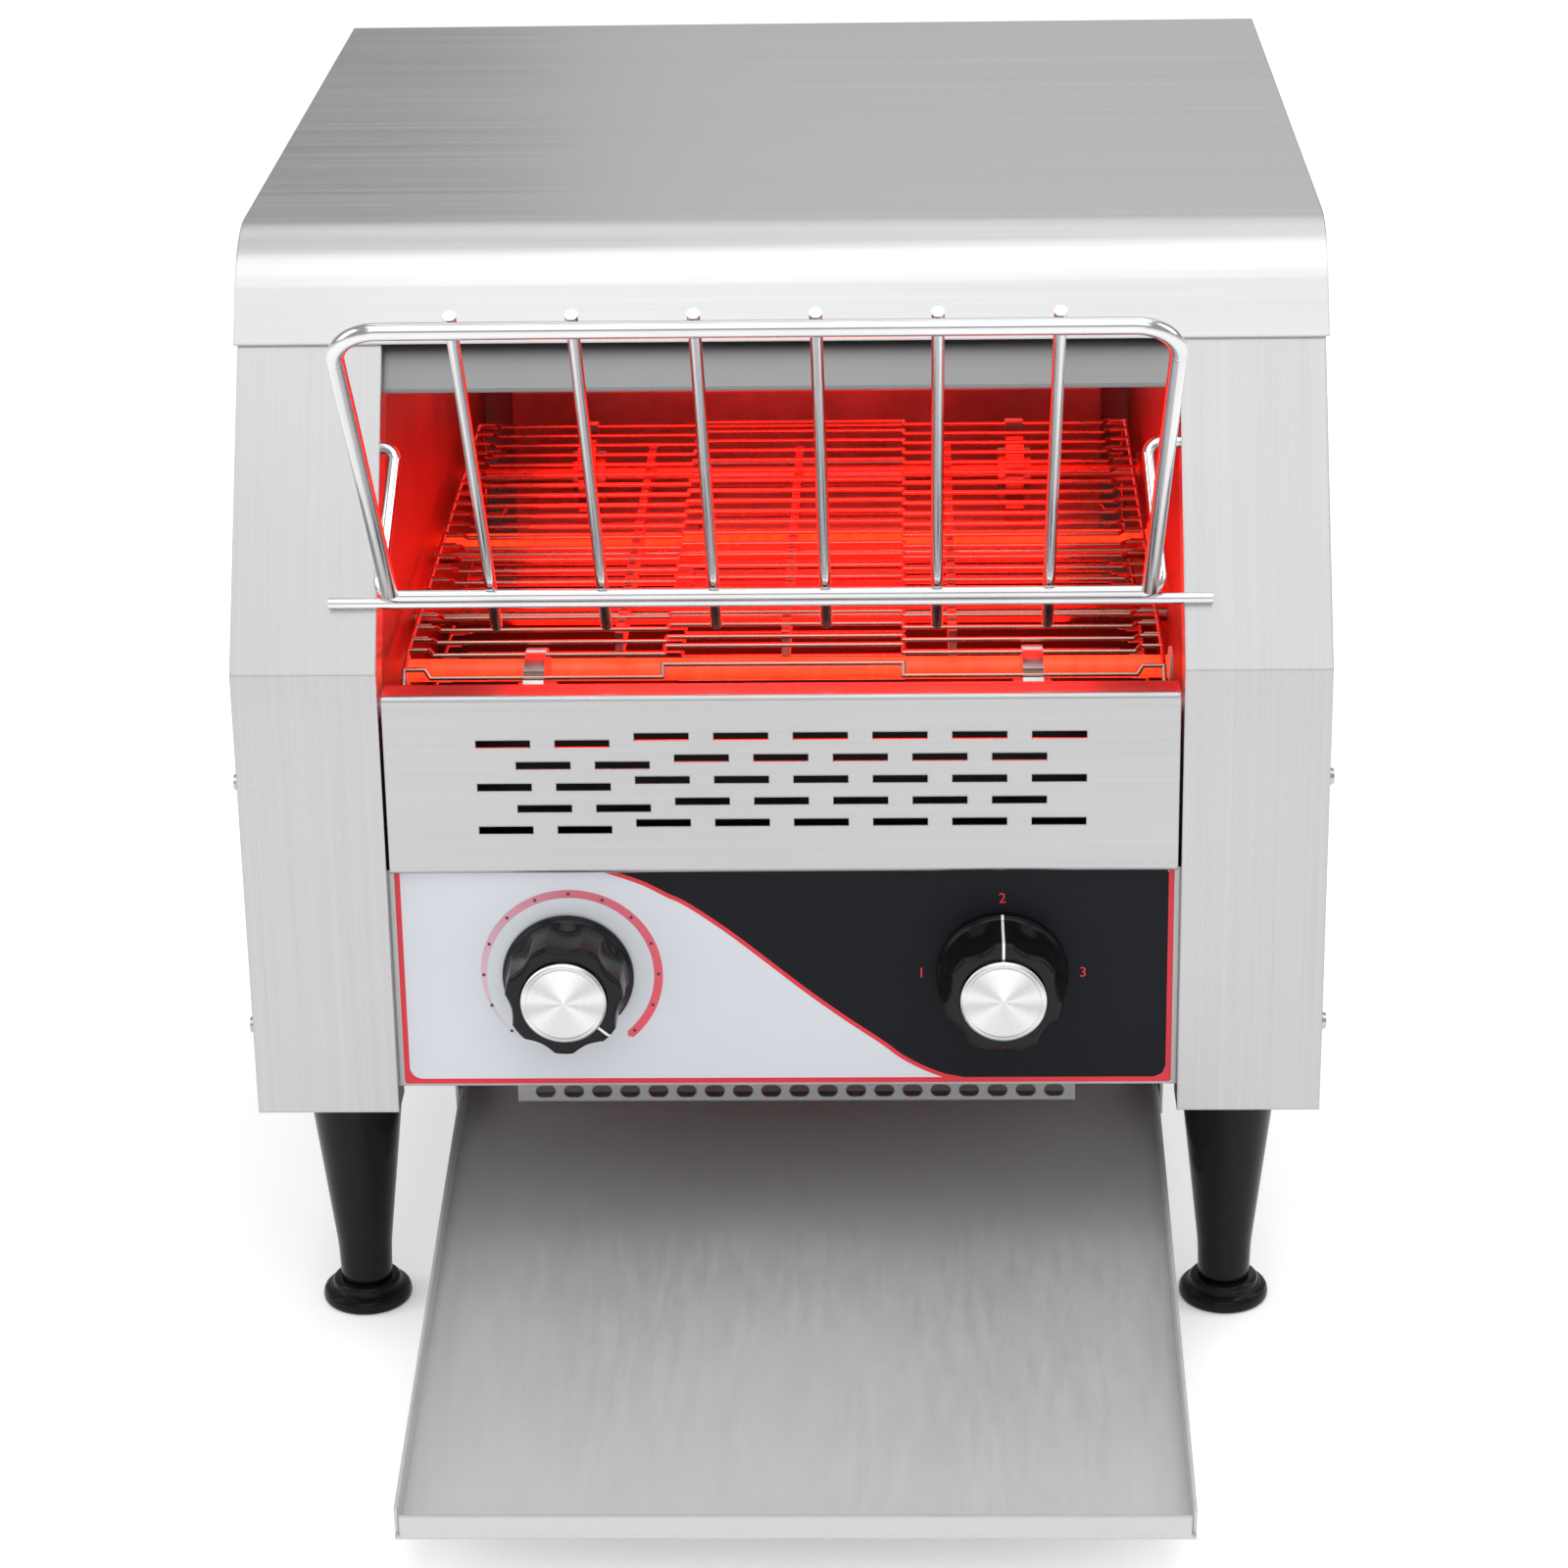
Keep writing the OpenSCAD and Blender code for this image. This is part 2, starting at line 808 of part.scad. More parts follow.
// Curved sheet that turns the toast forward on to the tray
module rear_chute() {
    chute_r = 96;
    mouth_frac = 0.35;
    upstand = 34;
    x = duct_w / 2 - rest_gap;
    cy = duct_y1 - chute_r;
    cz = pan_z + chute_r + 2;
    color(dull_steel)
        at_body() {
            across(-x, x) {
                intersection() {
                    difference() {
                        translate([cy, cz])
                            circle(r = chute_r, $fn = 96);
                        translate([cy, cz])
                            circle(r = chute_r - sheet_t, $fn = 96);
                    }
                    polygon([
                        [cy, cz],
                        [cy + 2 * chute_r, cz],
                        [cy + 2 * chute_r, cz - 2 * chute_r],
                        [cy + mouth_frac * chute_r, cz - 2 * chute_r]
                    ]);
                }
                translate([duct_y1 - sheet_t, cz - 0.1])
                    square([sheet_t, upstand]);
                translate([duct_y1 - sheet_t, cz + upstand - sheet_t])
                    square([rear_y - duct_y1 + sheet_t, sheet_t]);
            }
        }
}

// ---------------------------------------------------------------- tray and legs

// The middle of the tray, in the part's frame
module at_tray() {
    at_body()
        translate([tray_x, 0, 0])
            children();
}

// The tray's own frame: y up along its slope from the lip, z square to its floor
module on_tray() {
    translate([0, -tray_reach, tray_front_z])
        rotate([tray_deg, 0, 0])
            children();
}

module toast_tray() {
    slit = 1.5;
    hem = 3;
    color("#8d9094")
        at_tray()
            on_tray()
                union() {
                    translate([-tray_w / 2, 0, 0])
                        cube([tray_w, tray_l, sheet_t]);
                    translate([-tray_w / 2 + slit, 0, 0])
                        cube([tray_w - 2 * slit, sheet_t, tray_lip]);
                    mirrored()
                        translate([tray_w / 2 - sheet_t, slit, 0])
                            cube([sheet_t, tray_l - slit, tray_flange]);
                    // Hem that stiffens the rear edge
                    translate([-tray_w / 2, tray_l - sheet_t, 0])
                        cube([tray_w, sheet_t, hem]);
                }
}

runner_y0 = 90;
runner_gap = 0.6;

module runner_half() {
    x = tray_w / 2 + runner_gap;
    start = (runner_y0 + tray_reach) / cos(tray_deg);
    end = tray_l - 8;
    inner_h = tray_flange + 2 * runner_gap;
    ledge = 9;
    hanger_in = 6;
    hanger_pitch = 174;
    hanger_y = [runner_y0 + hanger_in, runner_y0 + hanger_in + hanger_pitch];
    hanger_w = 24;
    hanger_foot = 12;
    difference() {
        union() {
            on_tray() {
                for (z = [-sheet_t - rest_gap, inner_h])
                    translate([x - ledge, start, z])
                        cube([ledge + sheet_t, end - start, sheet_t]);
                translate([x, start, -sheet_t - rest_gap])
                    cube([sheet_t, end - start, inner_h + 2 * sheet_t + rest_gap]);
            }
            // Hangers up to the pan
            for (y = hanger_y) {
                low = tray_front_z + (y + tray_reach) * tan(tray_deg) + 2;
                translate([x, y, low])
                    cube([sheet_t, hanger_w, pan_z - low]);
                translate([x, y, pan_z - sheet_t])
                    cube([hanger_foot, hanger_w, sheet_t]);
            }
        }
        translate([0, 0, pan_z])
            cube([body_w, body_d, pan_z]);
    }
}

module left_tray_runner() {
    color(dull_steel)
        at_tray()
            mirror([1, 0, 0])
                runner_half();
}

module right_tray_runner() {
    color(dull_steel)
        at_tray()
            runner_half();
}

module air_outlet_strip() {
    strip_y = 30;
    hole_l = 7;
    hole_h = 4.5;
    hole_rise = 3.8;
    hole_pitch = 9.93;
    flange = 14;
    hem = 5;
    first_x = strip_hole_x - (strip_holes - 1) / 2 * hole_pitch;
    color(dull_steel)
        at_body()
            translate([strip_x, strip_y, pan_z - strip_h]) {
                translate([0, sheet_t, 0])
                    rotate([90, 0, 0])
                        linear_extrude(sheet_t)
                            difference() {
                                translate([-strip_l / 2, 0])
                                    square([strip_l, strip_h]);
                                for (i = [0 : strip_holes - 1])
                                    translate([first_x + i * hole_pitch, hole_rise])
                                        slot_2d(hole_l, hole_h);
                            }
                translate([-strip_l / 2, 0, strip_h - sheet_t])
                    cube([strip_l, flange, sheet_t]);
                translate([-strip_l / 2, 0, 0])
                    cube([strip_l, hem, sheet_t]);
            }
}

// One leg, from its collar to the pan
module leg() {
    collar_d = leg_foot_d + 5;
    collar_h = 4;
    seat_h = pan_z - skirt_z;
    stem_room = 34;
    difference() {
        union() {
            translate([0, 0, leg_foot_z])
                cylinder(h = collar_h, d = collar_d);
            translate([0, 0, leg_foot_z + collar_h])
                cylinder(h = skirt_z - leg_foot_z - collar_h, d1 = leg_foot_d, d2 = leg_top_d);
            translate([0, 0, skirt_z])
                cylinder(h = seat_h, d = leg_top_d);
        }
        translate([0, 0, leg_foot_z - cut])
            cylinder(h = stem_room, d = stem_d + 2 * run_fit);
    }
}

// One foot: a disc with a rounded shoulder and a stem that screws into the leg
module foot() {
    disc_h = 6;
    shoulder_r = 2;
    neck_z = leg_foot_z - 2 * rest_gap;
    neck_in = 6;
    stem_l = 28;
    rotate_extrude()
        union() {
            square([foot_d / 2, disc_h - shoulder_r]);
            square([foot_d / 2 - shoulder_r, disc_h]);
            translate([foot_d / 2 - shoulder_r, disc_h - shoulder_r])
                circle(r = shoulder_r, $fn = wire_fn);
            square([foot_d / 2 - neck_in, neck_z]);
            square([stem_d / 2, neck_z + stem_l]);
        }
}

module leg_place(sx, rear) {
    at_body()
        translate([sx * leg_x, rear ? leg_rear_y : leg_inset, 0])
            children();
}

module front_left_leg() {
    color(black) leg_place(-1, false) leg();
}

module front_right_leg() {
    color(black) leg_place(1, false) leg();
}

module rear_left_leg() {
    color(black) leg_place(-1, true) leg();
}

module rear_right_leg() {
    color(black) leg_place(1, true) leg();
}

module front_left_foot() {
    color(black) leg_place(-1, false) foot();
}

module front_right_foot() {
    color(black) leg_place(1, false) foot();
}

module rear_left_foot() {
    color(black) leg_place(-1, true) foot();
}

module rear_right_foot() {
    color(black) leg_place(1, true) foot();
}

// ---------------------------------------------------------------- belt

// Place of belt wire i in y and z: the top run, the rear sprocket, the lower run, the front sprocket
function belt_pin(i) =
    let (
        half = belt_teeth / 2,
        step = 360 / belt_teeth,
        rear_end = run_wires + half,
        lower_end = rear_end + run_wires,
        rear_a = 90 - (i - run_wires) * step,
        front_a = -90 - (i - lower_end) * step
    )
    i <= run_wires ? [idler_y + i * belt_pitch, belt_z]
    : i <= rear_end ? [drive_y + belt_r * cos(rear_a), shaft_z + belt_r * sin(rear_a)]
    : i <= lower_end ? [drive_y - (i - rear_end) * belt_pitch, shaft_z - belt_r]
    : [idler_y + belt_r * cos(front_a), shaft_z + belt_r * sin(front_a)];

// Half of one belt wire: x across, y along the travel. Its edge link reaches the wire before it.
function strand_points() = [
    [zbend_x, zbend_step, 0],
    [zbend_x, 0, 0],
    [belt_half_w - 9.2, 0, 0],
    [belt_half_w - 7.2, link_step, 0],
    [belt_half_w, link_step, 0],
    [belt_half_w, link_step + belt_wire + 0.2 - belt_pitch, 0],
    [belt_half_w - 5.4, link_step + belt_wire + 0.2 - belt_pitch, 0]
];

module strand() {
    pts = strand_points();
    last = len(pts) - 1;
    wire([-zbend_x, zbend_step, 0], pts[0], belt_wire);
    mirrored() {
        for (i = [0 : last - 1])
            wire(pts[i], pts[i + 1], belt_wire);
        for (i = [0 : last - 1])
            translate(pts[i])
                sphere(d = belt_wire, $fn = wire_fn);
    }
}

module conveyor_belt() {
    color("#c9cacb")
        at_body()
            for (i = [0 : belt_wires - 1]) {
                here = belt_pin(i);
                before = belt_pin(i == 0 ? belt_wires - 1 : i - 1);
                along = atan2(here[1] - before[1], here[0] - before[0]);
                translate([0, here[0], here[1]])
                    rotate([along, 0, 0])
                        strand();
            }
}

// Tooth gaps of a sprocket, each a round seat with an open mouth
module tooth_gaps(teeth, r, seat_d, mouth, phase) {
    for (i = [0 : teeth - 1])
        rotate(phase + i * 360 / teeth) {
            translate([r, 0])
                circle(d = seat_d, $fn = wire_fn);
            polygon([
                [r, -seat_d / 2],
                [r + seat_d, -mouth / 2],
                [r + seat_d, mouth / 2],
                [r, seat_d / 2]
            ]);
        }
}

module belt_sprocket() {
    hub_d = 20;
    hub_w = sprocket_w + 6;
    tooth_mouth = 5;
    rotate([90, 0, 90])
        difference() {
            union() {
                translate([0, 0, -sprocket_w / 2])
                    linear_extrude(sprocket_w)
                        difference() {
                            circle(r = belt_r + 1.2);
                            tooth_gaps(belt_teeth, belt_r, belt_wire + 0.5, tooth_mouth, 90);
                        }
                translate([0, 0, -hub_w / 2])
                    cylinder(h = hub_w, d = hub_d);
            }
            translate([0, 0, -hub_w])
                cylinder(h = 2 * hub_w, d = shaft_d + 2 * seat_fit);
        }
}

module belt_sprockets(y) {
    at_body()
        for (x = [-sprocket_x, sprocket_x])
            translate([x, y, shaft_z])
                belt_sprocket();
}

module drive_belt_sprockets() {
    color(dull_steel) belt_sprockets(drive_y);
}

module idler_belt_sprockets() {
    color(dull_steel) belt_sprockets(idler_y);
}

module drive_shaft() {
    color(dull_steel)
        at_body()
            bar_x(-wall_x - bush_l, chain_x + shaft_end, drive_y, shaft_z, shaft_d);
}

module idler_shaft() {
    color(dull_steel)
        at_body()
            bar_x(-wall_x - bush_l, wall_x + bush_l, idler_y, shaft_z, shaft_d);
}

// Flanged bush seated in the chamber wall
module bush(y) {
    flange_t = 1.5;
    difference() {
        union() {
            bar_x(wall_x - 0.8, wall_x + bush_l, y, shaft_z, bush_d - 2 * seat_fit);
            bar_x(wall_in, wall_in + flange_t, y, shaft_z, bush_flange_d);
        }
        bar_x(wall_x - 2, wall_x + bush_l + cut, y, shaft_z, shaft_d + 2 * run_fit);
    }
}

module shaft_bushes() {
    color(brass)
        at_body()
            mirrored() {
                bush(idler_y);
                bush(drive_y);
            }
}

// Rails just under the belt's top run, on two rods between the chamber walls
module belt_support_rails() {
    rail_w = 3;
    rail_h = 9;
    rail_top = belt_z - belt_wire / 2 - rest_gap;
    rail_y0 = idler_y + belt_r + 4;
    rail_y1 = drive_y - belt_r - 4;
    color(dull_steel)
        at_body() {
            for (x = [-58, 0, 58])
                translate([x - rail_w / 2, rail_y0, rail_top - rail_h])
                    cube([rail_w, rail_y1 - rail_y0, rail_h]);
            for (y = rail_rod_y)
                bar_x(-wall_in - 3, wall_in + 3, y, rail_rod_z, rail_rod_d);
        }
}

// ---------------------------------------------------------------- drive

module chain_sprocket() {
    tooth_w = chain_inner_w - 0.4;
    tooth_mouth = 5.8;
    hub_l = 8;
    rotate([90, 0, 90])
        difference() {
            union() {
                translate([0, 0, -tooth_w / 2])
                    linear_extrude(tooth_w)
                        difference() {
                            circle(r = chain_r + 1.5);
                            tooth_gaps(chain_teeth, chain_r, roller_d + 0.4, tooth_mouth, chain_fall - 90);
                        }
                translate([0, 0, -hub_l])
                    cylinder(h = hub_l, d = 18);
            }
            translate([0, 0, -2 * hub_l])
                cylinder(h = 4 * hub_l, d = shaft_d + 2 * seat_fit);
        }
}

module driven_sprocket() {
    color(dull_steel)
        at_body()
            translate([chain_x, drive_y, shaft_z])
                chain_sprocket();
}

module motor_sprocket() {
    color(dull_steel)
        at_body() {
            translate([chain_x, motor_y, motor_z])
                chain_sprocket();
            bar_x(motor_plate_x - motor_shaft_l, chain_x + motor_shaft_end, motor_y, motor_z, shaft_d);
        }
}

// Place of chain pin i, in the plane of the chain with x along its run from the rear shaft to the motor
function chain_pin(i) =
    let (
        half = chain_teeth / 2,
        step = 360 / chain_teeth,
        a = 90 - (i - chain_links) * step,
        b = -90 - (i - 2 * chain_links - half) * step
    )
    i <= chain_links ? [i * chain_pitch, chain_r]
    : i <= chain_links + half ? [chain_span + chain_r * cos(a), chain_r * sin(a)]
    : i <= 2 * chain_links + half ? [chain_span - (i - chain_links - half) * chain_pitch, -chain_r]
    : [chain_r * cos(b), chain_r * sin(b)];

// Eight-sided side plate between two pins
module chain_plate(a, b) {
    v = b - a;
    h = 2.6;
    waist = 1.9;
    translate(a)
        rotate(atan2(v[1], v[0]))
            polygon([
                [-h, -1.1], [-1.1, -h], [norm(v) + 1.1, -h], [norm(v) + h, -1.1],
                [norm(v) + h, 1.1], [norm(v) + 1.1, h], [norm(v) / 2, waist], [-1.1, h], [-h, 1.1]
            ]);
}

module drive_chain() {
    inner = chain_inner_w / 2;
    outer = inner + chain_plate_t;
    color(dull_steel)
        at_body()
            translate([chain_x, drive_y, shaft_z])
                rotate([90, 0, 90])
                    rotate(180 + chain_fall)
                        for (i = [0 : chain_pins - 1]) {
                            a = chain_pin(i);
                            b = chain_pin(i == chain_pins - 1 ? 0 : i + 1);
                            base = i % 2 == 0 ? inner : outer;
                            for (side = [base, -base - chain_plate_t])
                                translate([0, 0, side])
                                    linear_extrude(chain_plate_t)
                                        chain_plate(a, b);
                            translate([a[0], a[1], -outer])
                                cylinder(h = 2 * outer, d = roller_d, $fn = wire_fn);
                        }
}

module gear_motor() {
    gear_w = 52;
    gear_h = 45;
    gear_l = 26;
    gear_drop = 20;
    can_d = 46;
    can_l = 34;
    can_rise = 6;
    bore_room = 2;
    bore_l = motor_shaft_l + bore_room;
    gear_x = motor_plate_x - gear_l;
    color("#7c8086")
        at_body()
            difference() {
                union() {
                    translate([gear_x, motor_y - gear_w / 2, motor_z - gear_drop])
                        cube([gear_l, gear_w, gear_h]);
                    bar_x(gear_x - can_l, gear_x + cut, motor_y, motor_z + can_rise, can_d);
                }
                bar_x(motor_plate_x - bore_l, motor_plate_x + cut, motor_y, motor_z, shaft_d + 2 * run_fit);
            }
}

module motor_bracket() {
    w = 60;
    plate_t = 2;
    foot_l = 18;
    head = 30;
    shaft_room_d = 20;
    color(dull_steel)
        at_body()
            difference() {
                union() {
                    translate([motor_plate_x, motor_y - w / 2, pan_top])
                        cube([plate_t, w, motor_z + head - pan_top]);
                    translate([motor_plate_x, motor_y - w / 2, pan_top])
                        cube([foot_l, w, plate_t]);
                }
                bar_x(motor_plate_x - cut, motor_plate_x + plate_t + cut, motor_y, motor_z, shaft_room_d);
            }
}

fan_y = 165;
fan_z = 160;
fan_w = 80;
fan_t = 25;
fan_x = -side_x + sheet_t;
fan_hub_d = 30;
fan_pin_d = 5;

module fan_frame() {
    bore_d = 76;
    hole_at = 35.75;
    hole_d = 4.3;
    plate_t = 3;
    strut_w = 4;
    pin_l = 12;
    color(black)
        at_body()
            translate([fan_x, fan_y, fan_z])
                rotate([90, 0, 90]) {
                    difference() {
                        translate([-fan_w / 2, -fan_w / 2, 0])
                            cube([fan_w, fan_w, fan_t]);
                        translate([0, 0, -cut])
                            cylinder(h = fan_t + 2 * cut, d = bore_d);
                        for (x = [-hole_at, hole_at], y = [-hole_at, hole_at])
                            translate([x, y, -cut])
                                cylinder(h = fan_t + 2 * cut, d = hole_d);
                    }
                    cylinder(h = plate_t, d = fan_hub_d);
                    for (a = [45 : 90 : 315])
                        rotate([0, 0, a])
                            translate([fan_hub_d / 2 - 1, -strut_w / 2, 0])
                                cube([(bore_d - fan_hub_d) / 2 + 2, strut_w, plate_t]);
                    cylinder(h = pin_l, d = fan_pin_d);
                }
}

module fan_rotor() {
    blades = 7;
    tip_r = 36;
    hub_z0 = 4;
    hub_l = 19;
    bore_l = 11;
    blade_l = 24;
    blade_t = 1.5;
    blade_deg = 38;
    sweep_l = 17;
    color(black)
        at_body()
            translate([fan_x, fan_y, fan_z])
                rotate([90, 0, 90]) {
                    difference() {
                        translate([0, 0, hub_z0])
                            cylinder(h = hub_l, d = fan_hub_d);
                        translate([0, 0, hub_z0 - cut])
                            cylinder(h = bore_l + cut, d = fan_pin_d + 2 * run_fit);
                    }
                    intersection() {
                        for (i = [0 : blades - 1])
                            rotate([0, 0, i * 360 / blades])
                                translate([fan_hub_d / 2 - 2, 0, hub_z0 + hub_l / 2])
                                    rotate([blade_deg, 0, 0])
                                        translate([0, -blade_l / 2, -blade_t / 2])
                                            cube([tip_r - fan_hub_d / 2 + 4, blade_l, blade_t]);
                        translate([0, 0, hub_z0 + 1])
                            cylinder(h = sweep_l, r = tip_r);
                    }
                }
}

// ---------------------------------------------------------------- controls

// Threaded neck of a control, with the nut that clamps it to the panel
module control_neck() {
    neck_play = 0.4;
    neck_out = 3;
    nut_d = 14;
    nut_h = 2;
    translate([0, 0, -stack_t])
        cylinder(h = stack_t + neck_out, d = bush_hole_d - neck_play);
    cylinder(h = nut_h, d = nut_d, $fn = 6);
}

module speed_control() {
    pot_d = 24;
    pot_l = 12;
    board_w = 70;
    board_h = 52;
    board_t = 1.6;
    board_back = -stack_t - pot_l;
    // Tall round parts, and boxes as x, y, width, height and depth
    can_x = [-24, -12, 16];
    can_y = 14;
    can_d = 9;
    can_l = 14;
    boxes = [[-28, -22, 24, 14, 16], [6, -22, 22, 12, 11]];
    color("#4c6b46")
        at_body()
            on_panel(-knob_x, knob_z)
                difference() {
                    union() {
                        control_neck();
                        translate([0, 0, board_back])
                            cylinder(h = pot_l, d = pot_d);
                        translate([-board_w / 2, -board_h / 2, board_back - board_t])
                            cube([board_w, board_h, board_t]);
                        for (x = can_x)
                            translate([x, can_y, board_back - can_l])
                                cylinder(h = can_l - 1, d = can_d);
                        for (b = boxes)
                            translate([b[0], b[1], board_back - b[4]])
                                cube([b[2], b[3], b[4] - 1]);
                    }
                    translate([0, 0, board_back + 1])
                        cylinder(h = pot_l + panel_setback, d = control_shaft_d + 2 * run_fit);
                }
}

module selector_switch() {
    body_s = 44;
    body_l = 38;
    shaft_room = 20;
    tab_w = 6;
    tab_h = 5;
    tab_t = 4;
    tab_pitch = 12;
    tab_rise = 10;
    tab_in = 6.5;
    tab_x = (body_s + tab_t) / 2;
    tab_top = -stack_t - tab_in;
    color("#3a3c40")
        at_body()
            on_panel(knob_x, knob_z)
                difference() {
                    union() {
                        control_neck();
                        translate([-body_s / 2, -body_s / 2, -stack_t - body_l])
                            cube([body_s, body_s, body_l]);
                        for (z = [0 : 3], s = [-1, 1], y = [-1 : 1])
                            translate([s * tab_x, y * tab_pitch, tab_top - z * tab_rise])
                                cube([tab_t, tab_w, tab_h], center = true);
                    }
                    translate([0, 0, -stack_t - shaft_room])
                        cylinder(h = 2 * shaft_room, d = control_shaft_d + 2 * run_fit);
                }
}

module control_shaft(x) {
    root_l = 10;
    at_body()
        on_panel(x, knob_z)
            translate([0, 0, -stack_t - root_l])
                cylinder(h = root_l + stack_t + knob_gap + knob_bore_l, d = control_shaft_d);
}

module speed_shaft() {
    color(steel) control_shaft(-knob_x);
}

module selector_shaft() {
    color(steel) control_shaft(knob_x);
}

// Black knob: a flange, a fluted grip and a seat for the cap. The pointer's lobe stands at pointer_deg.
module knob(pointer_deg) {
    flute_r = (pow(flute_w / 2, 2) + pow(flute_depth, 2)) / (2 * flute_depth);
    flute_at = knob_grip_d / 2 + flute_r - flute_depth;
    skirt_h = 3;
    rim_h = 2;
    rim_in = 1.2;
    nut_room_d = 18;
    nut_room_h = 5;
    difference() {
        union() {
            cylinder(h = knob_flange_t, d = knob_flange_d);
            translate([0, 0, knob_flange_t])
                cylinder(h = skirt_h, d1 = knob_flange_d - 1, d2 = knob_grip_d);
            difference() {
                union() {
                    translate([0, 0, knob_flange_t + skirt_h])
                        cylinder(h = knob_h - knob_flange_t - skirt_h - rim_h, d = knob_grip_d);
                    translate([0, 0, knob_h - rim_h])
                        cylinder(h = rim_h, d1 = knob_grip_d, d2 = knob_grip_d - 2 * rim_in);
                }
                for (i = [0 : knob_lobes - 1])
                    rotate([0, 0, pointer_deg + (i + 0.5) * 360 / knob_lobes])
                        translate([flute_at, 0, knob_flange_t + 1])
                            cylinder(h = knob_h, r = flute_r);
            }
        }
        // Room for the nut, and the bore on the shaft
        translate([0, 0, -cut])
            cylinder(h = nut_room_h + cut, d = nut_room_d);
        cylinder(h = knob_bore_l, d = control_shaft_d + 2 * seat_fit);
    }
}

module knob_cap() {
    chamfer = 0.8;
    translate([0, 0, knob_h])
        rotate_extrude()
            polygon([
                [0, 0],
                [cap_d / 2, 0],
                [cap_d / 2, cap_h - chamfer],
                [cap_d / 2 - chamfer, cap_h],
                [0, cap_h]
            ]);
}

module knob_place(x) {
    at_body()
        on_panel(x, knob_z)
            translate([0, 0, knob_gap])
                children();
}

module speed_knob() {
    color(black) knob_place(-knob_x) knob(90 - speed_rest_deg);
}

module selector_knob() {
    color(black) knob_place(knob_x) knob(90);
}

module speed_knob_cap() {
    color("#e3e4e6") knob_place(-knob_x) knob_cap();
}

module selector_knob_cap() {
    color("#e3e4e6") knob_place(knob_x) knob_cap();
}

// ---------------------------------------------------------------- loading rack

// The rack's plane: x across, y down the slope from the rod, z towards the bread
module on_rack() {
    at_body()
        translate([rack_shift, rod_y, rod_z])
            rotate([-rack_deg, 0, 0])
                children();
}

module rack_frame() {
    corner_r = 14;
    foot_gap = 0.5;
    x = side_wire_x;
    side_l = rack_l - bail_wire / 2 - foot_gap;
    color(steel)
        on_rack()
            translate([0, rail_down, frame_up]) {
                wire([corner_r - x, 0, 0], [x - corner_r, 0, 0], rack_wire);
                mirrored() {
                    wire_bend([x - corner_r, corner_r, 0], corner_r, -90, 0, rack_wire);
                    wire_knuckle([x, corner_r, 0], rack_wire);
                    wire([x, corner_r, 0], [x - rack_taper, side_l, 0], rack_wire);
                }
            }
}

// Hinge wire: along the lower edge, up inside the chamber's mouth and out through the pillars
module rack_bail() {
    corner_r = 6;
    turn_r = 5;
    end_x = wall_in + 5;
    top_x = hook_x - bail_lean;
    color(steel)
        at_body()
            translate([rack_shift, bail_y, bail_z])
                rotate([hook_deg, 0, 0]) {
                    wire([corner_r - hook_x, 0, 0], [hook_x - corner_r, 0, 0], bail_wire);
                    mirrored() {
                        wire_bend([hook_x - corner_r, corner_r, 0], corner_r, -90, 0, bail_wire);
                        wire_knuckle([hook_x, corner_r, 0], bail_wire);
                        wire([hook_x, corner_r, 0], [top_x, hook_l - turn_r, 0], bail_wire);
                        wire_knuckle([top_x, hook_l - turn_r, 0], bail_wire);
                        wire_bend([top_x + turn_r, hook_l - turn_r, 0], turn_r, 90, 180, bail_wire);
                        wire([top_x + turn_r, hook_l, 0], [end_x, hook_l, 0], bail_wire);
                    }
                }
}

module rack_bars() {
    nub = 1.5;
    tail = 20;
    up = rod_wire / 2 + bar_wire / 2 + weld_gap;
    color(steel)
        on_rack()
            for (i = [0 : bar_count - 1]) {
                x = (i - (bar_count - 1) / 2) * bar_pitch;
                wire([x, rail_down - nub, up], [x, tail, up], bar_wire);
            }
}

module rack_rod() {
    color(steel)
        on_rack()
            wire([-rod_l / 2, 0, 0], [rod_l / 2, 0, 0], rod_wire);
}

// ---------------------------------------------------------------- supply and fasteners

module terminal_block() {
    block = [24, 52, 18];
    block_gap = 3;
    block_y = 330;
    pole_pitch = 17;
    pole_x = 6;
    pole_d = 5;
    pole_depth = 8;
    color("#e8e8e4")
        at_body()
            translate([2 * sheet_t + block_gap + block[0] / 2 - side_x, block_y, pan_top])
                difference() {
                    translate([-block[0] / 2, -block[1] / 2, 0])
                        cube(block);
                    for (y = [-1 : 1], x = [-pole_x, pole_x])
                        translate([x, y * pole_pitch, block[2] - pole_depth])
                            cylinder(h = pole_depth + cut, d = pole_d);
                }
}

// Gland for the supply cord, in the rear panel
module cable_gland() {
    hex_d = 22;
    nut_h = 5;
    head_h = 4;
    dome_d = 19;
    bore_d = 9;
    color(black)
        at_body()
            translate([gland_x, rear_y, gland_z])
                rotate([-90, 0, 0])
                    difference() {
                        union() {
                            cylinder(h = sheet_t + gland_reach, d = gland_d - 2 * run_fit);
                            translate([0, 0, sheet_t])
                                cylinder(h = head_h, d = hex_d, $fn = 6);
                            translate([0, 0, sheet_t + head_h])
                                cylinder(h = gland_reach - head_h, d1 = dome_d, d2 = gland_d);
                            translate([0, 0, -nut_h])
                                cylinder(h = nut_h, d = hex_d, $fn = 6);
                        }
                        translate([0, 0, -nut_h - cut])
                            cylinder(h = nut_h + sheet_t + gland_reach + 2 * cut, d = bore_d);
                    }
}

// Pan-head screw with its head at the origin, pointing along -z
module screw() {
    head_h = 2;
    head_d = 7;
    crown_d = 5;
    cylinder(h = head_h, d1 = head_d, d2 = crown_d);
    translate([0, 0, -sheet_t])
        cylinder(h = sheet_t, d = screw_d - 2 * run_fit);
}

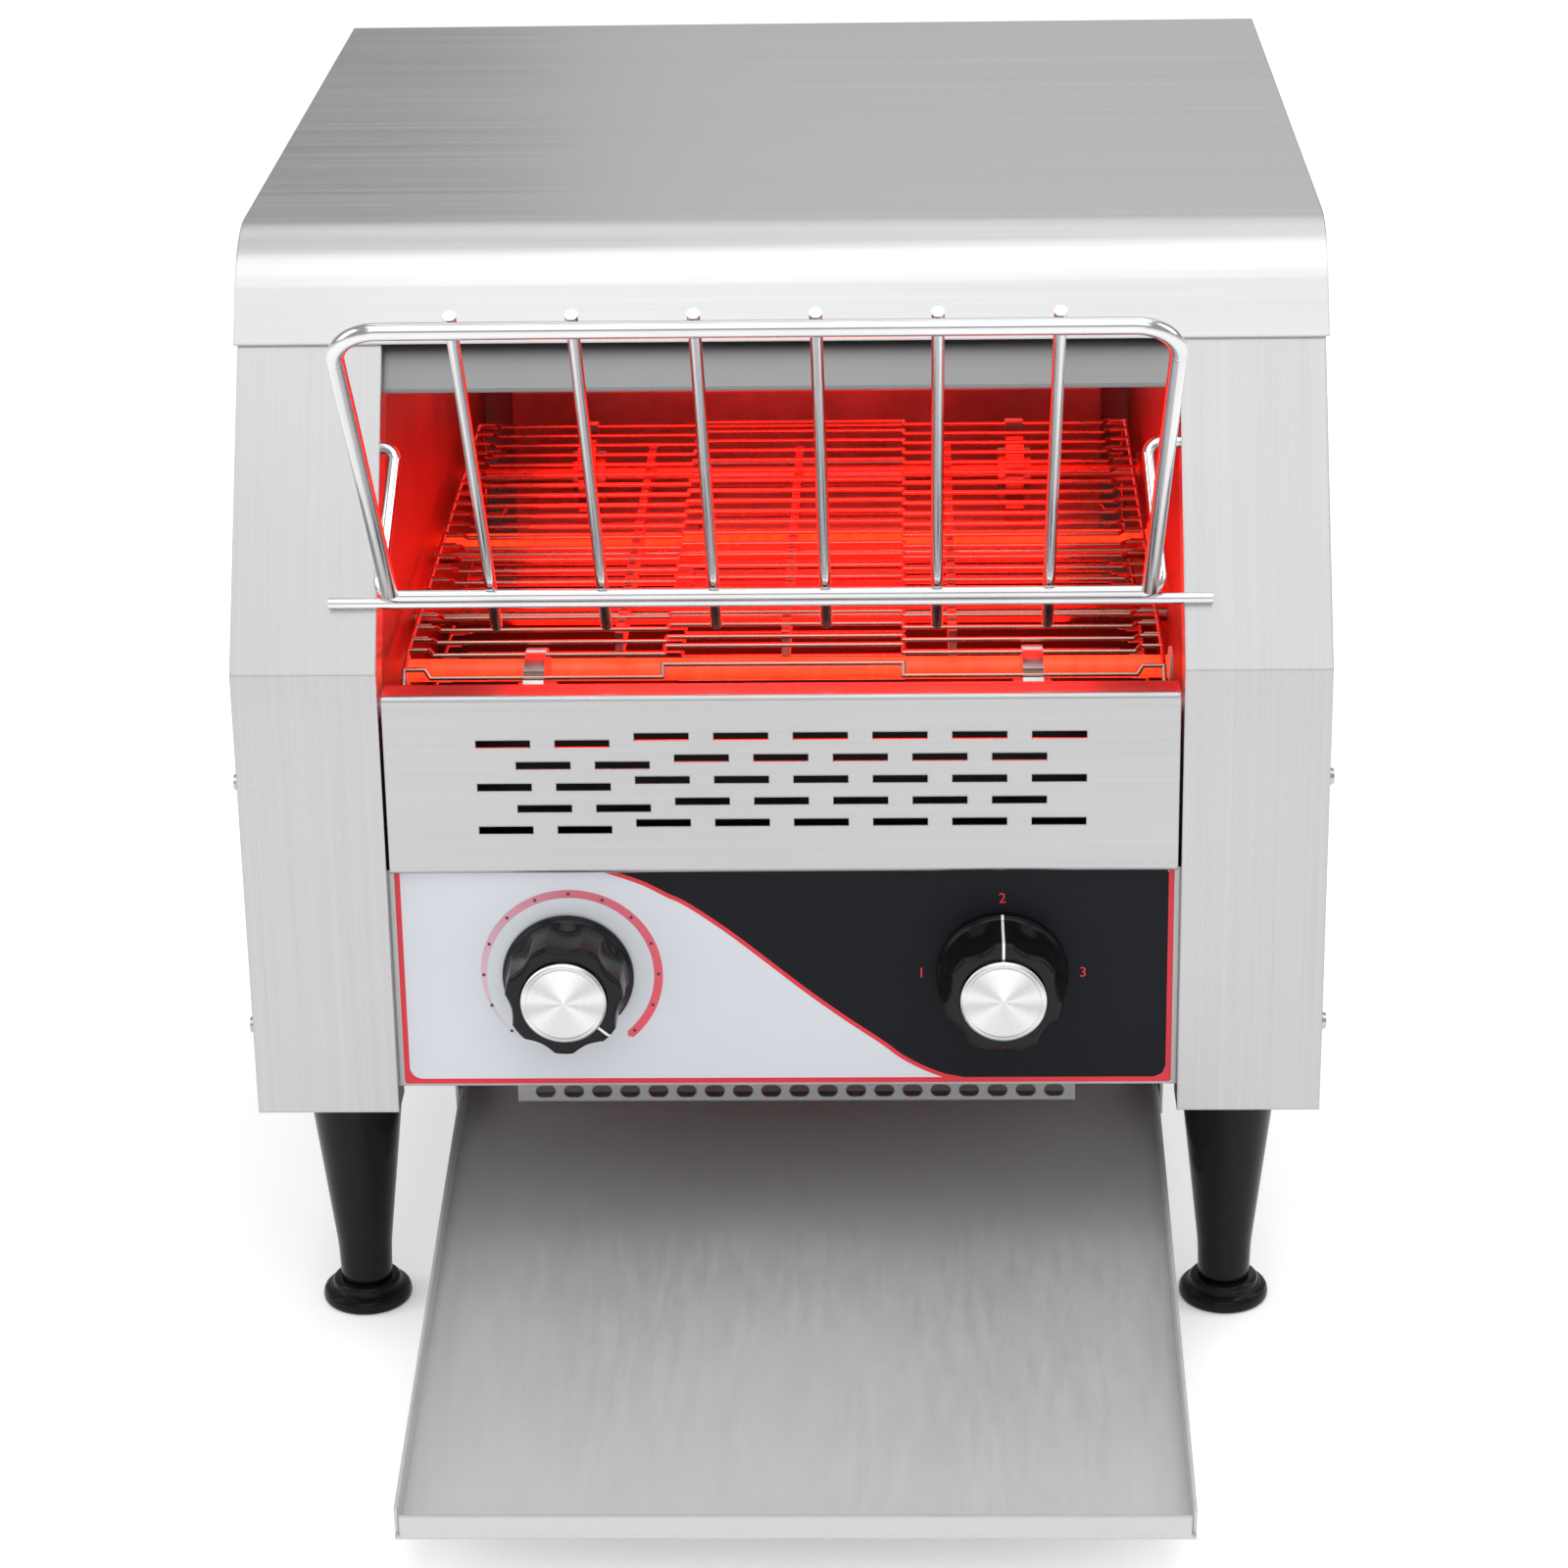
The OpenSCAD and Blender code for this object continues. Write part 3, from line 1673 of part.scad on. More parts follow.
module screws() {
    color(steel)
        at_body()
            mirrored()
                for (z = screw_holes)
                    translate([side_x, return_depth / 2, skirt_z + z])
                        rotate([0, 90, 0])
                            screw();
}

base_pan();
left_pillar();
right_pillar();
left_side_panel();
right_side_panel();
rear_panel();
top_cover();
header_panel();
vent_panel();
control_panel();
control_overlay();
left_chamber_wall();
right_chamber_wall();
upper_reflector();
lower_heat_shield();
upper_elements();
lower_elements();
element_insulators();
rear_chute();
left_tray_runner();
right_tray_runner();
air_outlet_strip();
toast_tray();
front_left_leg();
front_right_leg();
rear_left_leg();
rear_right_leg();
front_left_foot();
front_right_foot();
rear_left_foot();
rear_right_foot();
conveyor_belt();
drive_shaft();
idler_shaft();
drive_belt_sprockets();
idler_belt_sprockets();
shaft_bushes();
belt_support_rails();
driven_sprocket();
motor_sprocket();
drive_chain();
gear_motor();
motor_bracket();
fan_frame();
fan_rotor();
speed_control();
selector_switch();
speed_shaft();
selector_shaft();
speed_knob();
speed_knob_cap();
selector_knob();
selector_knob_cap();
rack_frame();
rack_bail();
rack_bars();
rack_rod();
terminal_block();
cable_gland();
screws();
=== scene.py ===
"""Countertop conveyor toaster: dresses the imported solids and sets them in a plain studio.

Lengths in the classes are millimetres in the body's own measure: x from the middle, y back from
the body's front face, z up from the counter. ``place`` turns them into the scene's metres.
"""

import logging
import math
from collections.abc import Sequence
from dataclasses import dataclass
from enum import Enum, IntEnum
from typing import Protocol

import bpy
import numpy as np
from mathutils import Matrix, Vector


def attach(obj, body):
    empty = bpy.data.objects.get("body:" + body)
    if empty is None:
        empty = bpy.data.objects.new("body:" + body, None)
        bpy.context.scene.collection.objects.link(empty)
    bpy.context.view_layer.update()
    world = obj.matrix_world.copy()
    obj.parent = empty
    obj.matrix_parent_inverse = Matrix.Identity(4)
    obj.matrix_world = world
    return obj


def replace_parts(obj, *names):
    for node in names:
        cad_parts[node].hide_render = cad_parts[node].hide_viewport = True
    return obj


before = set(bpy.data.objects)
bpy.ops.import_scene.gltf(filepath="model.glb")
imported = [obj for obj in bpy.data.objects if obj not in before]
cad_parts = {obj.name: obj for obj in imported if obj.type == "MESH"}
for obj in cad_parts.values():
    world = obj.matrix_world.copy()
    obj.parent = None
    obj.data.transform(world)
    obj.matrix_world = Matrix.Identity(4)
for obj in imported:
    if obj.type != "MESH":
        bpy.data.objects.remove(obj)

LOG = logging.getLogger("toaster")
MM = 0.001
# Where the body's front face stands in the scene, in millimetres
FRONT_FACE_Y = -138.8426
# Height of both knobs' axes
KNOB_Z = 146.2
# How near noise comes to 0 and 1 over most of a surface
NOISE_EDGE = 0.3
# How many finer layers the richer noises have
RICH = 3.0
# Rays that look for a nearby edge where the shading rounds it
EDGE_RAYS = 4

Point = tuple[float, float]
Place = tuple[float, float, float]
Colour = tuple[float, float, float]
# Radius, height and rounding of one corner of a turned profile
Corner = tuple[float, float, float]

WHITE: Colour = (1.0, 1.0, 1.0)


def place(points: np.ndarray) -> np.ndarray:
    """Body millimetres to scene metres: add the front face's offset in y, then scale by 0.001.

    Args:
        points: an array whose last axis holds x, y and z.

    Returns:
        The same array in metres.
    """
    return (np.asarray(points, float) + np.array([0.0, FRONT_FACE_Y, 0.0])) * MM


# ---------------------------------------------------------------- meshes


def add_object(name: str, data: bpy.types.ID) -> bpy.types.Object:
    """Makes an object of some data and adds it to the scene.

    Args:
        name: the object's name.
        data: its mesh, curve, lamp or camera.

    Returns:
        The new object, at the origin.
    """
    made = bpy.data.objects.new(name, data)
    bpy.context.scene.collection.objects.link(made)
    return made


def mount(name: str, mesh: bpy.types.Mesh, body: str) -> bpy.types.Object:
    """Makes a piece of a mesh and sets it on its body.

    Args:
        name: the piece's name.
        mesh: its mesh, in scene metres.
        body: the body that carries the piece.

    Returns:
        The new piece.
    """
    piece = add_object(name, mesh)
    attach(piece, body)
    LOG.info("%s: %d corners, %d faces", name, len(mesh.vertices), len(mesh.polygons))
    return piece


def new_piece(name: str, corners: np.ndarray, quads: np.ndarray, body: str,
              smooth: bool = True, uv: np.ndarray | None = None) -> bpy.types.Object:
    """Makes a piece from corners and four-sided faces.

    Args:
        name: the piece's name.
        corners: n by 3 array, body millimetres.
        quads: m by 4 array of corner numbers, turned so that faces point outwards.
        body: the body that carries the piece.
        smooth: whether the faces are shaded smooth.
        uv: n by 2 array of surface coordinates, or None.

    Returns:
        The new piece.
    """
    mesh = bpy.data.meshes.new(name)
    corners = place(corners.reshape(-1, 3))
    quads = np.asarray(quads, np.int32).reshape(-1, 4)
    mesh.vertices.add(len(corners))
    mesh.vertices.foreach_set("co", corners.ravel())
    mesh.loops.add(quads.size)
    mesh.loops.foreach_set("vertex_index", quads.ravel())
    mesh.polygons.add(len(quads))
    mesh.polygons.foreach_set("loop_start", np.arange(0, quads.size, 4, dtype=np.int32))
    mesh.polygons.foreach_set("use_smooth", np.full(len(quads), smooth))
    if uv is not None:
        layer = mesh.uv_layers.new(name="surface")
        layer.data.foreach_set("uv", uv.reshape(-1, 2)[quads.ravel()].ravel())
    mesh.update(calc_edges=True)
    mesh.validate()
    return mount(name, mesh, body)


def text_mesh(text: str, size: float) -> bpy.types.Mesh:
    """Flat letters in the program's own font, about their middle.

    Args:
        text: what the letters say.
        size: the font's size, in millimetres.

    Returns:
        The letters as a mesh in the x, y plane, in metres.
    """
    curve = bpy.data.curves.new("label", "FONT")
    curve.body, curve.size = text, size * MM
    curve.align_x, curve.align_y = "CENTER", "CENTER"
    holder = add_object("label", curve)
    bpy.context.view_layer.update()
    mesh = bpy.data.meshes.new_from_object(holder)
    bpy.data.objects.remove(holder)
    return mesh


def grid_quads(rows: int, columns: int, wrap: bool = False) -> np.ndarray:
    """Faces of a grid whose corners are numbered row by row.

    Args:
        rows: corners along the first direction.
        columns: corners along the second direction.
        wrap: whether the second direction closes on itself.

    Returns:
        An m by 4 array of corner numbers.
    """
    low = np.arange(rows - 1)[:, None] * columns
    high = low + columns
    at = np.arange(columns if wrap else columns - 1)[None, :]
    after = (at + 1) % columns
    return np.stack([low + at, low + after, high + after, high + at], -1).reshape(-1, 4)


def revolve(profile: np.ndarray, sides: int) -> tuple[np.ndarray, np.ndarray]:
    """Turns a profile about the z axis: (r cos a, r sin a, z) for each angle a.

    Args:
        profile: n by 2 array of radius and height, from the foot up the outside.
        sides: steps round the axis.

    Returns:
        Corners as an n by sides by 3 array, and the quads.
    """
    a = np.linspace(0, 2 * np.pi, sides, endpoint=False)
    r, z = profile[:, 0][:, None], profile[:, 1][:, None]
    corners = np.stack([r * np.cos(a), r * np.sin(a), z + 0 * a], -1)
    return corners, grid_quads(len(profile), sides, wrap=True)


def rounded_profile(points: Sequence[Corner], steps: int = 6) -> np.ndarray:
    """A polyline with its corners rounded: each rounding is a quadratic curve from one tangent
    point to the other, with the corner itself as the middle control.

    Args:
        points: the corners. A rounding of 0 leaves one sharp.
        steps: points on each rounding.

    Returns:
        An n by 2 array.
    """
    p = np.array([q[:2] for q in points], float)
    t = np.linspace(0, 1, steps)[:, None]
    out = [p[:1]]
    for i in range(1, len(p) - 1):
        reach = points[i][2]
        before, after = p[i - 1] - p[i], p[i + 1] - p[i]
        a = p[i] + before / np.linalg.norm(before) * reach
        b = p[i] + after / np.linalg.norm(after) * reach
        curve = (1 - t) ** 2 * a + 2 * t * (1 - t) * p[i] + t ** 2 * b
        out.append(curve if reach else p[i:i + 1])
    out.append(p[-1:])
    return np.concatenate(out)


def spline(points: Sequence[Point], count: int) -> np.ndarray:
    """A smooth plane curve through the points: one cubic Hermite arc between neighbours, with the
    slope at each point taken from the points on both sides of it (a Catmull-Rom curve).

    Args:
        points: the places the curve goes through.
        count: how many points to return.

    Returns:
        A count by 2 array, evenly spaced in the curve's own parameter.
    """
    p = np.array(points, float)
    slope = np.gradient(p, axis=0)
    just_short = 1e-9
    s = np.linspace(0, len(p) - 1 - just_short, count)
    i = s.astype(int)
    t = (s - i)[:, None]
    start, leave = 2 * t ** 3 - 3 * t ** 2 + 1, t ** 3 - 2 * t ** 2 + t
    end, arrive = -2 * t ** 3 + 3 * t ** 2, t ** 3 - t ** 2
    return start * p[i] + leave * slope[i] + end * p[i + 1] + arrive * slope[i + 1]


def band(line: np.ndarray, width: np.ndarray | float) -> np.ndarray:
    """A band along a line: each point moved half the width to both sides, square to the line.

    Args:
        line: n by 2 array.
        width: the band's width, one for all or one for each point.

    Returns:
        A 2 by n by 2 array, one row for each edge.
    """
    along = np.gradient(line, axis=0)
    across = np.stack([-along[:, 1], along[:, 0]], -1)
    side = across / np.linalg.norm(along, axis=1, keepdims=True)
    half = np.broadcast_to(np.asarray(width, float), len(line))[:, None] / 2
    return np.stack([line - side * half, line + side * half])


# ---------------------------------------------------------------- materials


class Graph:
    """The node tree of a material or a world, with short calls that add nodes and join them."""

    def __init__(self, owner: bpy.types.Material | bpy.types.World, end: str) -> None:
        """Turns the owner's nodes on and finds the one that gives its surface.

        Args:
            owner: the material or world.
            end: the name of the node whose sockets ``surface`` sets.
        """
        owner.use_nodes = True
        self.owner = owner
        self.tree = owner.node_tree
        self.end = self.tree.nodes[end]

    @classmethod
    def of_material(cls, name: str) -> "Graph":
        """The graph of a new material with a plain Principled shader."""
        return cls(bpy.data.materials.new(name), "Principled BSDF")

    def join(self, socket: bpy.types.NodeSocket, value: object) -> None:
        """Sets a socket, or joins it where the value is itself a socket.

        Args:
            socket: the socket to feed.
            value: a number, a colour or another node's output.
        """
        if isinstance(value, bpy.types.NodeSocket):
            self.tree.links.new(value, socket)
        else:
            socket.default_value = value

    def put(self, node: bpy.types.Node, **sockets: object) -> None:
        """Feeds a node's sockets by name, with _ for each space."""
        for name, value in sockets.items():
            self.join(node.inputs[name.replace("_", " ")], value)

    def add(self, kind: str, settings: dict[str, object] | None = None,
            **sockets: object) -> bpy.types.Node:
        """Adds a node.

        Args:
            kind: what it is, such as "TexNoise".
            settings: its own properties.
            **sockets: what feeds it, by socket name.

        Returns:
            The new node.
        """
        node = self.tree.nodes.new("ShaderNode" + kind)
        for name, value in (settings or {}).items():
            setattr(node, name, value)
        self.put(node, **sockets)
        return node

    def math(self, operation: str, *values: object) -> bpy.types.NodeSocket:
        """Works out an operation on numbers or sockets.

        Args:
            operation: its name, such as "MULTIPLY".
            *values: what it works on, in order.

        Returns:
            The socket with the result.
        """
        node = self.add("Math", {"operation": operation})
        for socket, value in zip(node.inputs, values):
            self.join(socket, value)
        return node.outputs[0]

    def remap(self, value: bpy.types.NodeSocket, source: Point,
              target: Point) -> bpy.types.NodeSocket:
        """Maps one range on to another in proportion, and holds it at the ends.

        Args:
            value: what is mapped.
            source: the range it comes in.
            target: the range it goes to.

        Returns:
            The socket with the result.
        """
        node = self.add("MapRange", Value=value, From_Min=source[0], From_Max=source[1],
                        To_Min=target[0], To_Max=target[1])
        return node.outputs["Result"]

    def surface(self, **sockets: object) -> None:
        """Feeds the sockets of the surface's own node."""
        self.put(self.end, **sockets)

    def noise(self, scale: Sequence[float], detail: float = 2.0) -> bpy.types.NodeSocket:
        """Noise from 0 to 1 in Object coordinates.

        Args:
            scale: features per metre along each axis.
            detail: how many finer layers are added.

        Returns:
            The socket with the noise.
        """
        spot = self.add("TexCoord").outputs["Object"]
        stretched = self.add("Mapping", Scale=tuple(scale), Vector=spot).outputs["Vector"]
        return self.add("TexNoise", Vector=stretched, Scale=1.0, Detail=detail).outputs["Fac"]

    def spread(self, noise: bpy.types.NodeSocket, low: float,
               high: float) -> bpy.types.NodeSocket:
        """Spreads noise, which mostly keeps away from 0 and 1, over low to high."""
        return self.remap(noise, (NOISE_EDGE, 1 - NOISE_EDGE), (low, high))

    def tint(self, value: bpy.types.NodeSocket, dark: Colour,
             light: Colour) -> bpy.types.NodeSocket:
        """Picks a colour between two.

        Args:
            value: from 0 for dark to 1 for light.
            dark: the first colour.
            light: the second colour.

        Returns:
            The socket with the colour.
        """
        ramp = self.add("ValToRGB", Fac=value)
        for element, colour in zip(ramp.color_ramp.elements, (dark, light)):
            element.color = (*colour, 1)
        return ramp.outputs["Color"]

    def bump(self, height: bpy.types.NodeSocket, distance: float, edge: float = 0.0) -> None:
        """Gives the surface a bumped normal.

        Args:
            height: the bump, from 0 to 1.
            distance: how high it stands, in metres.
            edge: how wide sharp edges are rounded in the shading, in metres.
        """
        node = self.add("Bump", Strength=1.0, Distance=distance, Height=height)
        if edge:
            rounding = self.add("Bevel", {"samples": EDGE_RAYS}, Radius=edge)
            self.put(node, Normal=rounding.outputs["Normal"])
        self.surface(Normal=node.outputs["Normal"])


class Finish(Protocol):
    """What every finish offers: its name, and a material on request."""

    @property
    def name(self) -> str:
        """The material's name."""

    def make(self) -> bpy.types.Material:
        """Returns the finished material."""


class Grain(Enum):
    """The direction in which a sheet is brushed, as features per metre along x, y and z."""

    ACROSS = (5.0, 900.0, 900.0)
    UPRIGHT = (900.0, 900.0, 5.0)
    ALONG = (900.0, 5.0, 900.0)
    FOLDED = (900.0, 5.0, 5.0)
    NONE = (160.0, 160.0, 160.0)


@dataclass(frozen=True)
class BrushedSteel:
    """Sheet metal: a stretched noise gives the brushing, a wide one the handling marks."""

    name: str
    grain: Grain
    colour: float = 0.58
    shade: float = 0.035
    roughness: float = 0.27
    edge: float = 0.0009
    metallic: float = 1.0
    # The steel's colour cast. On the chamber walls the red cast is painted glow of the tubes.
    cast_and_painted_glow: Colour = (1.0, 1.0, 1.015)
    coarse_share: float = 0.28
    mark_scale: float = 9.0
    brushed_swing: Point = (-0.05, 0.07)
    mark_swing: Point = (-0.02, 0.05)
    relief: float = 0.000012

    def make(self) -> bpy.types.Material:
        """Half fine and half coarse brushing gives the tone and the bump, and marks add dullness.

        Returns:
            The finished material.
        """
        g = Graph.of_material(self.name)
        fine = g.noise(self.grain.value, RICH)
        coarse = g.noise([share * self.coarse_share for share in self.grain.value])
        marks = g.noise((self.mark_scale,) * 3, RICH)
        both = g.math("MULTIPLY_ADD", coarse, 0.5, g.math("MULTIPLY", fine, 0.5))
        tones = (self.colour - self.shade, self.colour + self.shade)
        # The cast tints both tones. On the chamber walls it is painted red glow.
        dark, light = (tuple(tone * part for part in self.cast_and_painted_glow) for tone in tones)
        brushed = g.spread(both, *(self.roughness + swing for swing in self.brushed_swing))
        rough = g.math("ADD", brushed, g.spread(marks, *self.mark_swing))
        base = g.tint(g.spread(both, 0.0, 1.0), dark, light)
        g.surface(Metallic=self.metallic, Base_Color=base, Roughness=rough)
        g.bump(both, self.relief, self.edge)
        return g.owner


@dataclass(frozen=True)
class Coated:
    """A plain material with a fine surface noise, for plastic, paint, ceramic and turned metal."""

    name: str
    colour: Colour
    roughness: float
    metallic: float = 0.0
    variation: float = 0.08
    scale: float = 260.0
    bump: float = 0.00002
    specular: float = 0.5
    patch_scale: float = 14.0
    roughness_swing: Point = (0.85, 1.2)

    def make(self) -> bpy.types.Material:
        """Wide patches vary the colour, and fine noise varies the dullness and the bump.

        Returns:
            The finished material.
        """
        g = Graph.of_material(self.name)
        fine = g.noise((self.scale,) * 3, RICH)
        patches = g.noise((self.patch_scale,) * 3)
        dark = tuple(part * (1 - self.variation) for part in self.colour)
        light = tuple(min(1.0, part * (1 + self.variation)) for part in self.colour)
        rough = g.spread(fine, *(self.roughness * swing for swing in self.roughness_swing))
        g.surface(Metallic=self.metallic, Base_Color=g.tint(g.spread(patches, 0, 1), dark, light))
        g.surface(Roughness=rough, Specular_IOR_Level=self.specular)
        g.bump(fine, self.bump)
        return g.owner


@dataclass(frozen=True)
class Glowing:
    """A hot tube: frosted quartz whose coil shows as a slow ripple of light along it."""

    name: str
    colour: Colour
    strength: float
    quartz: Colour = (0.6, 0.16, 0.08)
    roughness: float = 0.4
    ripple_scale: Place = (260.0, 60.0, 60.0)
    ripple_swing: Point = (0.75, 1.2)

    def make(self) -> bpy.types.Material:
        """The light's strength follows a noise that is finest along the tube.

        Returns:
            The finished material.
        """
        g = Graph.of_material(self.name)
        ripple = g.noise(self.ripple_scale, 1.0)
        glow = g.spread(ripple, *(self.strength * swing for swing in self.ripple_swing))
        g.surface(Base_Color=(*self.quartz, 1), Roughness=self.roughness)
        g.surface(Emission_Color=(*self.colour, 1), Emission_Strength=glow)
        return g.owner


@dataclass(frozen=True)
class SpunMetal:
    """Lathe-turned metal with fine rings, and painted highlights: bright and dark rays of
    reflection painted into the colour, which bend as they go round.
    """

    name: str
    colour: float = 0.86
    rings: float = 60.0
    painted_rays: int = 5
    painted_ray_contrast: float = 0.1
    painted_ray_tint: float = 1.01
    sways: int = 2
    sway_depth: float = 1.6
    roughness: Point = (0.24, 0.36)
    stretch: float = 0.85
    relief: float = 0.00001

    def make(self) -> bpy.types.Material:
        """The painted highlights: the base colour's brightness is a sine of the turn, whose phase
        another sine of the turn moves, so bright and dark rays of painted reflection sit in the
        colour. The rings are a noise of the radius. Both come from the surface's own coordinates.

        Returns:
            The finished material.
        """
        g = Graph.of_material(self.name)
        uv = g.add("UVMap", {"uv_map": "surface"}).outputs["UV"]
        round_axis, radius = g.add("SeparateXYZ", Vector=uv).outputs[:2]
        ring = g.add("TexNoise", {"noise_dimensions": "1D"}, W=radius, Scale=self.rings,
                     Detail=RICH).outputs["Fac"]
        tangent = g.add("Tangent", {"direction_type": "UV_MAP", "uv_map": "surface"})
        turn = g.math("MULTIPLY", round_axis, 2 * np.pi * self.painted_rays)
        sway = g.math("SINE", g.math("MULTIPLY", round_axis, 2 * np.pi * self.sways))
        wave = g.math("SINE", g.math("MULTIPLY_ADD", sway, self.sway_depth, turn))
        # Painted highlight: bright and dark rays of reflection painted into the base colour.
        low, high = self.colour - self.painted_ray_contrast, self.colour + self.painted_ray_contrast
        painted_rays = g.tint(g.math("MULTIPLY_ADD", wave, 0.5, 0.5), (low, low, low * self.painted_ray_tint),
                      (high, high, high))
        g.surface(Metallic=1.0, Base_Color=painted_rays, Roughness=g.spread(ring, *self.roughness))
        g.surface(Anisotropic=self.stretch, Tangent=tangent.outputs["Tangent"])
        g.bump(ring, self.relief)
        return g.owner


@dataclass(frozen=True)
class ArcInk:
    """Screen ink that changes colour along the surface's first coordinate."""

    name: str
    stops: tuple[tuple[float, Colour], ...]
    roughness: float = 0.4

    def make(self) -> bpy.types.Material:
        """Each colour stands on a ramp at its own share of the way along.

        Returns:
            The finished material.
        """
        g = Graph.of_material(self.name)
        uv = g.add("UVMap", {"uv_map": "surface"}).outputs["UV"]
        ramp = g.add("ValToRGB", Fac=g.add("SeparateXYZ", Vector=uv).outputs["X"])
        elements = ramp.color_ramp.elements
        while len(elements) < len(self.stops):
            elements.new(0.5)
        for element, (at, colour) in zip(elements, self.stops):
            element.position, element.color = at, (*colour, 1)
        g.surface(Base_Color=ramp.outputs["Color"], Roughness=self.roughness)
        return g.owner


STEEL_ACROSS = BrushedSteel("steel_brushed_across", Grain.ACROSS, roughness=0.31)
STEEL_UPRIGHT = BrushedSteel("steel_brushed_upright", Grain.UPRIGHT, colour=0.5)
PILLAR_STEEL = BrushedSteel("pillar_steel", Grain.FOLDED, colour=0.5)
TRAY_STEEL = BrushedSteel("tray_steel", Grain.ALONG, 0.6, 0.02, 0.5, metallic=0.55)
VENT_STEEL = BrushedSteel("vent_panel_steel", Grain.ACROSS, colour=0.5, roughness=0.31)
STRIP_SHEET = BrushedSteel("strip_sheet", Grain.ACROSS, colour=0.33, roughness=0.4)
HEADER_STEEL = BrushedSteel("header_steel", Grain.ACROSS, 0.27, 0.02, 0.36)
# Painted shade: the lower heat shield and the upper reflector are nearly black, standing for the
# shadow deep in the chamber.
PAINTED_SHADE_SHEET = BrushedSteel("painted_shade_sheet", Grain.NONE, 0.05, 0.015, 0.55)
DULL_SHEET = BrushedSteel("galvanised_sheet", Grain.NONE, 0.5, 0.06, 0.42)
# Painted glow: the chamber walls' red cast stands for the tubes' red light falling on them.
CHAMBER_SHEET = BrushedSteel("chamber_sheet", Grain.NONE, 0.27, 0.05, 0.48,
                             cast_and_painted_glow=(1.0, 0.5, 0.42))
KNOB_BLACK = Coated("knob_black", (0.006, 0.006, 0.007), 0.2, scale=500.0, bump=0.000004,
                    specular=0.24)
LEG_BLACK = Coated("leg_black", (0.005, 0.005, 0.006), 0.18, scale=900.0, bump=0.000001,
                   specular=0.18)
WIRE_CHROME = Coated("wire_chrome", (0.72, 0.72, 0.73), 0.16, 1.0, scale=300.0, bump=0.000006)
BELT_WIRE = Coated("belt_wire", (0.55, 0.34, 0.28), 0.28, 1.0, 0.18, 200.0, 0.00001)
TURNED_STEEL = Coated("turned_steel", (0.5, 0.5, 0.5), 0.32, 1.0, scale=300.0)
BRONZE = Coated("bronze", (0.52, 0.36, 0.17), 0.38, 1.0)
CERAMIC = Coated("ceramic", (0.8, 0.77, 0.7), 0.6)
MOTOR_PAINT = Coated("motor_paint", (0.2, 0.21, 0.23), 0.42)
BLACK_PLASTIC = Coated("black_plastic", (0.02, 0.02, 0.021), 0.45)
BOARD_GREEN = Coated("board_green", (0.03, 0.11, 0.04), 0.4)
SWITCH_BLACK = Coated("switch_black", (0.03, 0.03, 0.032), 0.5)
IVORY_PLASTIC = Coated("ivory_plastic", (0.7, 0.7, 0.66), 0.5)
OVERLAY_GREY = Coated("overlay_grey", (0.655, 0.68, 0.725), 0.36, variation=0.015, scale=900.0,
                      bump=0.000006)
OVERLAY_BLACK = Coated("overlay_black", (0.007, 0.008, 0.011), 0.45, variation=0.1, scale=900.0,
                       bump=0.000006, specular=0.15)
INK_RED = Coated("ink_red", (0.70, 0.018, 0.035), 0.38, variation=0.04)
INK_DARK = Coated("ink_dark", (0.09, 0.02, 0.03), 0.4, variation=0.04)
INK_WHITE = Coated("ink_white", (0.82, 0.83, 0.84), 0.4, variation=0.04)
TUBE_GLOW = Glowing("tube_glow", (1.0, 0.03, 0.006), 1.9)
# The caps' bright and dark rays are painted highlights in the colour.
CAP_METAL = SpunMetal("spun_aluminium", colour=0.71)
ARC_INK = ArcInk("arc_ink", (
    (0.0, (0.66, 0.60, 0.66)),
    (0.18, (0.70, 0.47, 0.59)),
    (0.5, (0.60, 0.15, 0.21)),
    (0.82, (0.78, 0.085, 0.13)),
    (1.0, (0.79, 0.075, 0.115)),
))


# ---------------------------------------------------------------- the toaster


class Workshop:
    """Holds the finishes that are already made, and dresses solids and pieces with them."""

    def __init__(self) -> None:
        """Starts with no finish made."""
        self.made: dict[str, bpy.types.Material] = {}

    def material(self, finish: Finish) -> bpy.types.Material:
        """Finds a finish's material, and makes it the first time it is asked for.

        Args:
            finish: what the surface is like.

        Returns:
            The one material of that finish.
        """
        if finish.name not in self.made:
            self.made[finish.name] = finish.make()
        return self.made[finish.name]

    def dress(self, finish: Finish, *nodes: str) -> None:
        """Gives CAD nodes a finish.

        Args:
            finish: what their surface is like.
            *nodes: the nodes' names.
        """
        for node in nodes:
            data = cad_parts[node].data
            data.materials.clear()
            data.materials.append(self.material(finish))
            LOG.info("%s dressed in %s", node, finish.name)

    def paint(self, finish: Finish, piece: bpy.types.Object) -> bpy.types.Object:
        """Gives a new piece a finish, and returns the piece."""
        piece.data.materials.append(self.material(finish))
        return piece


@dataclass
class Casing:
    """The sheet-metal body, its rear and its underside."""

    shop: Workshop

    def build(self) -> None:
        """Dresses the casing's solids."""
        dress = self.shop.dress
        dress(STEEL_ACROSS, "top_cover", "rear_panel")
        dress(VENT_STEEL, "vent_panel")
        dress(STRIP_SHEET, "air_outlet_strip")
        dress(HEADER_STEEL, "header_panel")
        # Painted shade on the heat shield and the upper reflector.
        dress(PAINTED_SHADE_SHEET, "lower_heat_shield", "upper_reflector")
        dress(STEEL_UPRIGHT, "left_side_panel", "right_side_panel")
        dress(PILLAR_STEEL, "left_pillar", "right_pillar")
        dress(DULL_SHEET, "base_pan", "control_panel", "left_tray_runner", "right_tray_runner",
              "rear_chute", "motor_bracket")
        # The chamber walls carry painted red glow in their colour.
        dress(CHAMBER_SHEET, "left_chamber_wall", "right_chamber_wall")
        dress(TURNED_STEEL, "screws")
        dress(BLACK_PLASTIC, "cable_gland")


